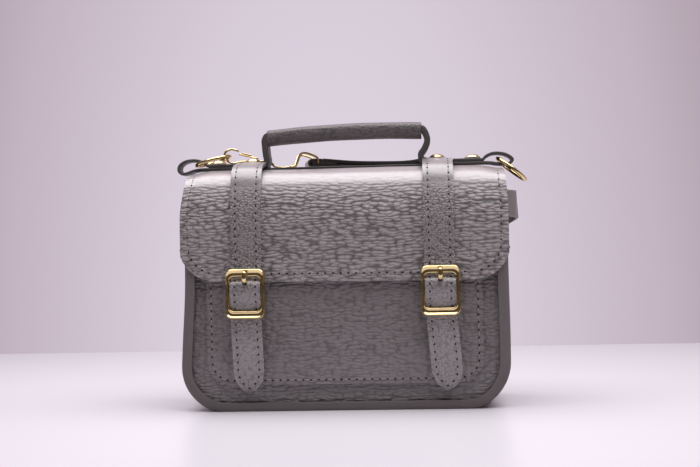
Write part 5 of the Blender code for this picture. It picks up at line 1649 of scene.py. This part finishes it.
# %% Hang it on its straps
LEG_WIDTH = 0.0140
LEG_THICK = 0.0038
LEG_LIFT = 0.0016
LEG_FOOT_X = 0.0522
LEG_FOOT_STEP = 0.0013
LEG_FOOT_DOWN = 0.0002
THIN_FROM = 0.0530
THIN_RUN = 0.003
THIN_BELOW = 0.158
THIN_SHARE = 0.30
for side, tag in SIDES:
    end_z = grip_middle(side)
    foot_z = CROWN_HEIGHT + LEG_LIFT + LEG_THICK / 2
    if side < 0:
        outline = [(0.0466, end_z + 0.0012), (0.0492, end_z + 0.0010), (0.0506, end_z - 0.0014),
                   (0.0505, end_z - 0.0054), (0.0499, end_z - 0.0115), (0.0495, between(foot_z, end_z, 0.20)),
                   (0.0499, foot_z + 0.0008), (LEG_FOOT_X, foot_z - LEG_FOOT_DOWN)]
    else:
        outline = [(0.0466, end_z + 0.0012), (0.0500, end_z + 0.0011), (0.0524, end_z - 0.0030),
                   (0.0530, end_z - 0.0070), (0.0508, end_z - 0.0124), (0.0489, between(foot_z, end_z, 0.22)),
                   (0.0493, foot_z + 0.0010), (LEG_FOOT_X, foot_z - LEG_FOOT_DOWN)]
    leg_line = smooth_path([(x, 0, z) for x, z in outline], 0.0009)
    for number in range(1, 13):
        x = LEG_FOOT_X + LEG_FOOT_STEP * number
        leg_line.append(Vector((x, 0, flap_point(x, 0, LEG_LIFT + LEG_THICK / 2).z - LEG_FOOT_DOWN)))
    rows = [[Vector((side * point.x, across * LEG_WIDTH / 2 * -side, point.z)) for across in (-1, 0, 1)]
            for point in leg_line]
    leg = strip_along(f"handle_strap_{tag}", rows, [TAB_LEATHER, EDGE_PAINT, TAB_LEATHER], LEG_THICK,
                      columns=6, round_off=0.0007)
    base = CROWN_HEIGHT + LEG_LIFT
    for vertex in leg.data.vertices:
        past = abs(vertex.co.x) - THIN_FROM
        if past > 0 and vertex.co.z < THIN_BELOW:
            vertex.co.z = base + (vertex.co.z - base) * between(1, THIN_SHARE, smooth_step(past / THIN_RUN))
    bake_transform(leg)
    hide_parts(f"handle_leg_{tag}", f"handle_foot_{tag}")

BASE_STRIP_HALF = 0.0685
BASE_STRIP_REACH = 0.0072
BASE_STRIP_THICK = 0.0010
strip_rows = [[flap_point(x, s * BASE_STRIP_REACH, GAP + BASE_STRIP_THICK / 2) for s in (1, 0.5, 0, -0.5, -1)]
              for x in [BASE_STRIP_HALF * (number / 30 - 1) for number in range(61)]]
base_strip = strip_along("handle_base", strip_rows, [STRAP_LEATHER, EDGE_PAINT, BACKING],
                         BASE_STRIP_THICK, columns=6, round_off=0.0003)
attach(base_strip, "flap_upper")
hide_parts("handle_base_strip")
print("handle made of", len(grip.data.polygons), "faces and two straps")

# %% [markdown]
# At each end of the flap a narrow tab is folded round a ring and riveted through both its layers. A ring is
# welded from thicker wire. A rivet is a low dome with a rim, a stem and a flat cap inside the flap.

# %% Fold the tabs round the rings
TAB_WIDTH = 0.0110
TAB_THICK = 0.0018
TAB_INNER = 0.0690
TAB_RIVET_X = 0.0815
TAB_REACH = 0.1075
TAB_TOP = 0.1580
TAB_UPPER_END = 0.0050
TAB_LOOP = {
    "left": ((0.42, -0.03), (0.62, -0.15), (0.79, -0.40), (0.92, -0.44), (1.0, -0.10), (0.98, 0.42),
             (0.84, 0.86), (0.62, 1.0), (0.44, 0.88), (0.32, 0.62), (0.26, 0.38)),
    "right": ((0.42, -0.02), (0.62, -0.15), (0.82, -0.20), (0.95, -0.05), (1.0, 0.25), (0.93, 0.60),
              (0.78, 0.90), (0.60, 1.0), (0.46, 0.93), (0.33, 0.66), (0.24, 0.30))}
for side, tag in SIDES:
    half = TAB_THICK / 2
    low = CROWN_HEIGHT + GAP + half
    upper = low + TAB_THICK + GAP
    rise = TAB_TOP - half - low
    loop = TAB_REACH - half - TAB_RIVET_X
    turns = [(TAB_INNER, low), (TAB_RIVET_X, low)]
    turns += [(TAB_RIVET_X + loop * along, low + rise * high) for along, high in TAB_LOOP[tag]]
    turns += [(TAB_RIVET_X + TAB_UPPER_END, upper), (TAB_RIVET_X, upper), (TAB_INNER, upper)]
    tab_line = smooth_path([(x, 0, z) for x, z in turns], 0.0010)
    rows = [[Vector((side * point.x, across * TAB_WIDTH / 2 * -side, point.z)) for across in (1, 0, -1)]
            for point in tab_line]
    tab = strip_along(f"tab_{tag}", rows, [TAB_LEATHER, EDGE_PAINT, TAB_LEATHER], TAB_THICK, columns=5,
                      round_off=0.0004)
    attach(tab, "flap_upper")
    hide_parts(f"ring_tab_{tag}")

# %% Close the rings and set the rivets
RING_RADIUS = 0.01105
RING_WIRE = 0.0012
RING_SEAT = 0.0038
for tag, x, tilt in (("left", -0.0956, 14.8), ("right", 0.0972, -38.4)):
    ring = start_from(bpy.ops.mesh.primitive_torus_add, major_radius=RING_RADIUS, minor_radius=RING_WIRE,
                      major_segments=64, minor_segments=16)
    ring.name = f"tab_ring_{tag}"
    ring.data.transform(Matrix.Translation((x, 0, CROWN_HEIGHT + RING_SEAT))
                        @ Matrix.Rotation(-math.radians(tilt), 4, "Y")
                        @ Matrix.Translation((RING_RADIUS, 0, 0)))
    bpy.ops.object.shade_smooth()
    ring.data.materials.append(GOLD)
    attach(ring, f"ring_{tag[0]}")
    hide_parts(f"ring_{tag}")

RIVET_RADIUS = 0.0050
RIVET_DOME = 0.0026
STEM_RADIUS = 0.0015
CAP_RADIUS = 0.0040
CAP_THICK = 0.0008
CAP_ROUND = 0.0003
CAP_DROP = 0.0006
OUTER_CAP_DROP = 0.0008
OUTER_FROM_X = 0.08
DOME_PROFILE = ((0, 1.0), (0.18, 0.985), (0.36, 0.93), (0.54, 0.83), (0.70, 0.69), (0.82, 0.53),
                (0.90, 0.38), (0.94, 0.29), (0.97, 0.26), (1.0, 0.20), (1.0, 0.06), (0.97, 0.0))


def make_rivet(name, x, seat):
    """A rivet at x whose head sits at height seat."""
    inside = CROWN_HEIGHT - FLAP_THICK - CAP_DROP - (OUTER_CAP_DROP if abs(x) > OUTER_FROM_X else 0)
    profile = [(RIVET_RADIUS * out, seat + GAP + RIVET_DOME * up) for out, up in DOME_PROFILE]
    profile += [(STEM_RADIUS, seat + GAP), (STEM_RADIUS, inside), (CAP_RADIUS - CAP_ROUND, inside),
                (CAP_RADIUS, inside - CAP_ROUND), (CAP_RADIUS - CAP_ROUND, inside - CAP_THICK),
                (0, inside - CAP_THICK)]
    rivet = lathe(name, profile, RIVET_GOLD)
    rivet.data.transform(Matrix.Translation((x, 0, 0)))
    return rivet


for side, tag in SIDES:
    for kind, x, seat in (("strap", STRAP_X, strap_lift(0) + CROWN_HEIGHT + STRAP_THICK),
                          ("tab", TAB_RIVET_X, CROWN_HEIGHT + 2 * (GAP + TAB_THICK))):
        rivet = make_rivet(f"{kind}_stud_{tag}", side * x, seat)
        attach(rivet, "flap_upper")
        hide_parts(f"{kind}_rivet_{tag}")
print("two tabs, two rings and four rivets set")

# %% [markdown]
# The buckles are cast and dished: a bright outer rim, a slope down to a hollow, and a lip round the window.
# A plane is rounded at its corners and extruded ring by ring, each ring nearer to the window's size and at
# its own height; then the window's face and the back are taken away and their two edges bridged.

# %% Cast a buckle frame
BUCKLE_SIDE = 0.0025
BUCKLE_CORNER = 0.0040
FRAME_RINGS = ((0.0, 0.42), (0.05, 0.72), (0.12, 0.92), (0.18, 1.0), (0.25, 0.95), (0.32, 0.84),
               (0.45, 0.75), (0.60, 0.69), (0.70, 0.70), (0.78, 0.79), (0.85, 0.81), (0.93, 0.70),
               (1.0, 0.45), (1.0, 0.0))


def frame_shape():
    """A dished frame lying flat on the ground round the origin, its top edge towards +Y."""
    frame_piece = start_from(bpy.ops.mesh.primitive_plane_add, size=1)
    bpy.ops.object.mode_set(mode="EDIT")
    bpy.ops.transform.resize(value=(BUCKLE_WIDTH, BUCKLE_HEIGHT, 1))
    bpy.ops.mesh.bevel(offset=BUCKLE_CORNER, segments=9, affect="VERTICES")
    bpy.ops.mesh.select_all(action="SELECT")
    wide = BUCKLE_WIDTH
    high = BUCKLE_HEIGHT
    level = 0
    for share, rise in FRAME_RINGS:
        next_wide = BUCKLE_WIDTH - 2 * BUCKLE_SIDE * share
        next_high = BUCKLE_HEIGHT - 2 * BUCKLE_BAR * share
        bpy.ops.mesh.extrude_region_move()
        bpy.ops.transform.resize(value=(next_wide / wide, next_high / high, 1), center_override=(0, 0, 0))
        bpy.ops.transform.translate(value=(0, 0, BUCKLE_DEEP * rise - level))
        wide, high, level = next_wide, next_high, BUCKLE_DEEP * rise
    bpy.ops.object.mode_set(mode="OBJECT")
    flat = [face for face in frame_piece.data.polygons if len(face.vertices) > 8]
    for element in (frame_piece.data.vertices, frame_piece.data.edges, frame_piece.data.polygons):
        for item in element:
            item.select = False
    for face in flat:
        face.select = True
    bpy.ops.object.mode_set(mode="EDIT")
    bpy.ops.mesh.select_mode(type="FACE")
    bpy.ops.mesh.delete(type="ONLY_FACE")
    bpy.ops.mesh.select_mode(type="EDGE")
    bpy.ops.mesh.select_all(action="DESELECT")
    bpy.ops.mesh.select_non_manifold()
    if len(flat) == 2:
        bpy.ops.mesh.bridge_edge_loops()
    bpy.ops.mesh.select_all(action="SELECT")
    bpy.ops.mesh.normals_make_consistent(inside=False)
    bpy.ops.mesh.select_mode(type="VERT")
    bpy.ops.object.mode_set(mode="OBJECT")
    bpy.ops.object.shade_smooth_by_angle(angle=SHARP_ANGLE)
    print("frame has", len(frame_piece.data.polygons), "faces,", len(flat), "flat ones taken away")
    return frame_piece


def bar_middle(z):
    """How far out the middle of a frame's bar lies at height z, just in front of the strap."""
    nearest = max(strap_under(z - BUCKLE_BAR / 2), strap_under(z), strap_under(z + BUCKLE_BAR / 2))
    return nearest + STRAP_THICK + 3 * GAP + BUCKLE_DEEP / 2


BAR_Y = 0.0440
BAR_RADIUS = 0.0010
LUG_NARROWER = 0.0007
LUG_HEIGHT = 0.0034
LUG_ROUND = 0.0003
top_out = bar_middle(BAR_Z + BAR_STEP)
low_out = bar_middle(BAR_Z - BAR_STEP)
frame_tilt = math.atan2(low_out - top_out, 2 * BAR_STEP)
middle_out = (top_out + low_out) / 2
for side, tag in SIDES:
    buckle = frame_shape()
    buckle.name = f"frame_{tag}"
    buckle.data.materials.append(GOLD)
    buckle.data.transform(Matrix.Translation((side * STRAP_X, -middle_out, BAR_Z))
                          @ Matrix.Rotation(math.pi / 2 - frame_tilt, 4, "X")
                          @ Matrix.Translation((0, 0, -BUCKLE_DEEP / 2)))
    lug_x = BUCKLE_WIDTH / 2 - BUCKLE_SIDE / 2
    lug_back = BAR_Y - BAR_RADIUS - GAP
    parts = [buckle]
    for lug_side in (-1, 1):
        lug = soft_block((BUCKLE_SIDE - LUG_NARROWER, middle_out - lug_back, LUG_HEIGHT), LUG_ROUND, 2)
        lug.data.transform(Matrix.Translation((side * STRAP_X + lug_side * lug_x,
                                               -(middle_out + lug_back) / 2, BAR_Z)))
        parts.append(lug)
    bar_points = [(side * STRAP_X + lug_x * share, -BAR_Y, BAR_Z) for share in (-1, -0.5, 0, 0.5, 1)]
    parts.append(tube(f"bar_{tag}", bar_points, BAR_RADIUS, GOLD))
    buckle = join_all(parts)
    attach(buckle, "flap_lower")
    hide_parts(f"buckle_{tag}")

# %% Hang the prongs and the chapes
CHAPE_BACK = 0.0417
CHAPE_THICK = 0.0010
CHAPE_WIDTH = 0.0150
CHAPE_LENGTH = 0.0205
CHAPE_JOIN = 0.0085
PRONG_RADIUS = 0.0011
PRONG_SHAPE = ((0.30, 0.24), (0.62, 0.42), (0.98, 0.50), (1.14, 0.62), (1.08, 0.86), (1, 1))
PRONG_FLAT = 1.4
PRONG_SLACK = 0.0005
PRONG_TIP_RISE = 0.0009
PRONG_THIN = 0.45
PRONG_GROWS_FROM = 0.0002
PRONG_GROWS_OVER = 0.0016
PRONG_FLAT_FROM = 0.0016
HOLE_SIZE = (0.0030, 0.0022, 0.0002)
HOLE_ABOVE_BAR = 0.0060
for side, tag in SIDES:
    x = side * STRAP_X
    eye_radius = BAR_RADIUS + GAP + PRONG_SLACK
    tip_y = top_out + BUCKLE_DEEP / 2 + GAP + PRONG_RADIUS
    tip_z = BAR_Z + BAR_STEP + PRONG_TIP_RISE
    points = []
    for step in range(21):
        angle = math.radians(60 - 15 * (20 - step))
        points.append((BAR_Y + eye_radius * math.cos(angle), BAR_Z + eye_radius * math.sin(angle)))
    root_y, root_z = points[-1]
    points += [(between(root_y, tip_y, out), between(root_z, tip_z, up)) for out, up in PRONG_SHAPE]
    line = smooth_path([(x, -y, z) for y, z in points], 0.0005)
    shares = []
    for point in line:
        grown = 0
        if -point.y > BAR_Y:
            grown = smooth_step((point.z - root_z - PRONG_GROWS_FROM) / PRONG_GROWS_OVER)
        shares.append(between(PRONG_THIN, 1, grown))
    for back, share in ((1, 0.35), (2, 0.72), (3, 0.92)):
        shares[-back] = share
    prong = tube(f"pin_{tag}", line, PRONG_RADIUS, GOLD, shares=shares)
    for vertex in prong.data.vertices:
        if -vertex.co.y > BAR_Y + PRONG_FLAT_FROM:
            vertex.co.x = x + (vertex.co.x - x) * PRONG_FLAT
    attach(prong, f"prong_{tag[0]}")
    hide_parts(f"prong_{tag}")

    half = CHAPE_THICK / 2
    turn = BAR_RADIUS + GAP + half
    back = CHAPE_BACK + half
    front = back + CHAPE_THICK + GAP
    foot = BAR_Z - CHAPE_LENGTH
    path = [(back, foot), (back, BAR_Z - CHAPE_JOIN), (BAR_Y - turn, BAR_Z)]
    path += [(BAR_Y - turn * math.cos(math.pi * step / 8), BAR_Z + turn * math.sin(math.pi * step / 8))
             for step in range(1, 8)]
    path.append((BAR_Y + turn, BAR_Z))
    path += [(between(BAR_Y + turn, front, smooth_step(step / 5)), BAR_Z - CHAPE_JOIN * step / 5)
             for step in range(1, 5)]
    path += [(front, BAR_Z - CHAPE_JOIN), (front, foot)]
    rows = [[Vector((x + share * CHAPE_WIDTH / 2, -y, z)) for share in (-1, 0, 1)] for y, z in path]
    chape = strip_along(f"buckle_loop_{tag}", rows, [STRAP_LEATHER, EDGE_PAINT, BACKING], CHAPE_THICK,
                        columns=6, round_off=0.0003)
    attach(chape, "flap_lower")
    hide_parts(f"chape_{tag}")

    # A dark flattened ball on the strap: painted shade inside the prong's hole.
    hole = flattened_ball(f"prong_hole_shade_{tag}", *HOLE_SIZE, 16, 8, HOLE_SHADE)
    hole_z = BAR_Z + HOLE_ABOVE_BAR
    hole_out = strap_under(hole_z) + window_bulge(hole_z) + STRAP_THICK + STRAP_CROWN
    hole.data.transform(Matrix.Translation((x, -hole_out, hole_z)) @ Matrix.Rotation(math.pi / 2, 4, "X"))
    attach(hole, "flap_lower")
print("buckles, prongs and loops in place")

# %% Finish what stays as it is
for side, tag in SIDES:
    for name in (f"snap_socket_{tag}", f"snap_stud_{tag}"):
        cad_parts[name].data.materials.clear()
        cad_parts[name].data.materials.append(GOLD)
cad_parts["base_board"].data.materials.clear()
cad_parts["base_board"].data.materials.append(BOARD)

# %% [markdown]
# The bag stands on a pale, slightly glossy table in front of a soft lilac wall. One wide lamp hangs right
# above it, a little in front of its middle: it lights the top bend and lets the front fall off. The wall is
# a glowing backdrop with a painted pool of light that falls off to a darker rim, and its glow also lights
# the scene. The room is dim, so the gold has something dark to reflect.

# %% Set the table and the wall
TABLE_BACK = 0.42
TABLE_FRONT = -0.31
table = start_from(bpy.ops.mesh.primitive_plane_add, size=1)
table.name = "table"
table.data.transform(Matrix.Translation((0, (TABLE_BACK + TABLE_FRONT) / 2, 0))
                     @ Matrix.Diagonal((5, TABLE_BACK - TABLE_FRONT, 1, 1)))
table_finish, nodes, links = new_material("table top")
shader = nodes["Principled BSDF"]
place = add_node(nodes, "ShaderNodeTexCoord")
smudge = add_node(nodes, "ShaderNodeTexNoise", Scale=3.0, Detail=2.0)
links.new(place.outputs["Object"], smudge.inputs["Vector"])
tone = color_ramp(nodes, links, smudge.outputs[0], [(0.3, (0.77, 0.74, 0.79)), (0.7, (0.80, 0.77, 0.82))])
links.new(tone.outputs[0], shader.inputs["Base Color"])
shader.inputs["Roughness"].default_value = 0.32
shader.inputs["Specular IOR Level"].default_value = 0.35
table.data.materials.append(table_finish)
table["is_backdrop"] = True

wall = start_from(bpy.ops.mesh.primitive_plane_add, size=1)
wall.name = "wall"
wall.data.transform(Matrix.Translation((0, 1.3, 0.4)) @ Matrix.Rotation(math.pi / 2, 4, "X")
                    @ Matrix.Diagonal((7, 5, 1, 1)))
wall_glow_finish, nodes, links = new_material("wall")
shader = nodes["Principled BSDF"]
place = add_node(nodes, "ShaderNodeTexCoord")
spread = add_node(nodes, "ShaderNodeMapping")
spread.inputs["Location"].default_value = (0.11, 0, 0.04)
spread.inputs["Scale"].default_value = (1.0, 0, 0.45)
links.new(place.outputs["Object"], spread.inputs["Vector"])
away = add_node(nodes, "ShaderNodeVectorMath", operation="LENGTH")
links.new(spread.outputs[0], away.inputs[0])
# Painted light: the wall glows, brightest low and a little to the left, and darker towards its rim.
painted_wall_light = color_ramp(nodes, links, away.outputs["Value"],
                       [(0.0, (0.76, 0.70, 0.79)), (0.28, (0.68, 0.60, 0.69)), (0.55, (0.54, 0.46, 0.53)),
                        (0.80, (0.35, 0.27, 0.32))])
links.new(painted_wall_light.outputs[0], shader.inputs["Emission Color"])
shader.inputs["Emission Strength"].default_value = 1.0
shader.inputs["Base Color"].default_value = (0.02, 0.02, 0.02, 1)
shader.inputs["Roughness"].default_value = 1.0
shader.inputs["Specular IOR Level"].default_value = 0.0
wall.data.materials.append(wall_glow_finish)
wall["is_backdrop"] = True

# %% Light the room
world = bpy.data.worlds.new("room")
bpy.context.scene.world = world
world.use_nodes = True
nodes = world.node_tree.nodes
links = world.node_tree.links
ROOM_LIGHT = (0.13, 0.121, 0.126, 1)
ROOM_REFLECTED = (0.10, 0.08, 0.07, 1)
background = nodes["Background"]
background.inputs["Color"].default_value = ROOM_LIGHT
reflected = nodes.new("ShaderNodeBackground")
reflected.inputs["Color"].default_value = ROOM_REFLECTED
ray = nodes.new("ShaderNodeLightPath")
mix = nodes.new("ShaderNodeMixShader")
links.new(ray.outputs["Is Glossy Ray"], mix.inputs["Fac"])
links.new(background.outputs[0], mix.inputs[1])
links.new(reflected.outputs[0], mix.inputs[2])
links.new(mix.outputs[0], nodes["World Output"].inputs["Surface"])


def add_lamp(name, place, aim, size, power, tint):
    """A rectangular lamp at place that shines towards aim."""
    data = bpy.data.lights.new(name, "AREA")
    data.shape = "RECTANGLE"
    data.size, data.size_y = size
    data.energy = power
    data.color = tint
    lamp = bpy.data.objects.new(name, data)
    bpy.context.scene.collection.objects.link(lamp)
    lamp.location = place
    lamp.rotation_euler = (Vector(aim) - Vector(place)).to_track_quat("-Z", "Y").to_euler()
    return lamp


add_lamp("overhead", (0.03, -0.10, 0.80), (0.0, -0.09, 0.08), (0.80, 1.20), 11.4, (1.0, 0.98, 1.0))
bpy.context.scene.view_settings.view_transform = "Standard"

# %% [markdown]
# The bounds of the finished bag are taken.

# %% Take the bag's bounds
low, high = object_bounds()
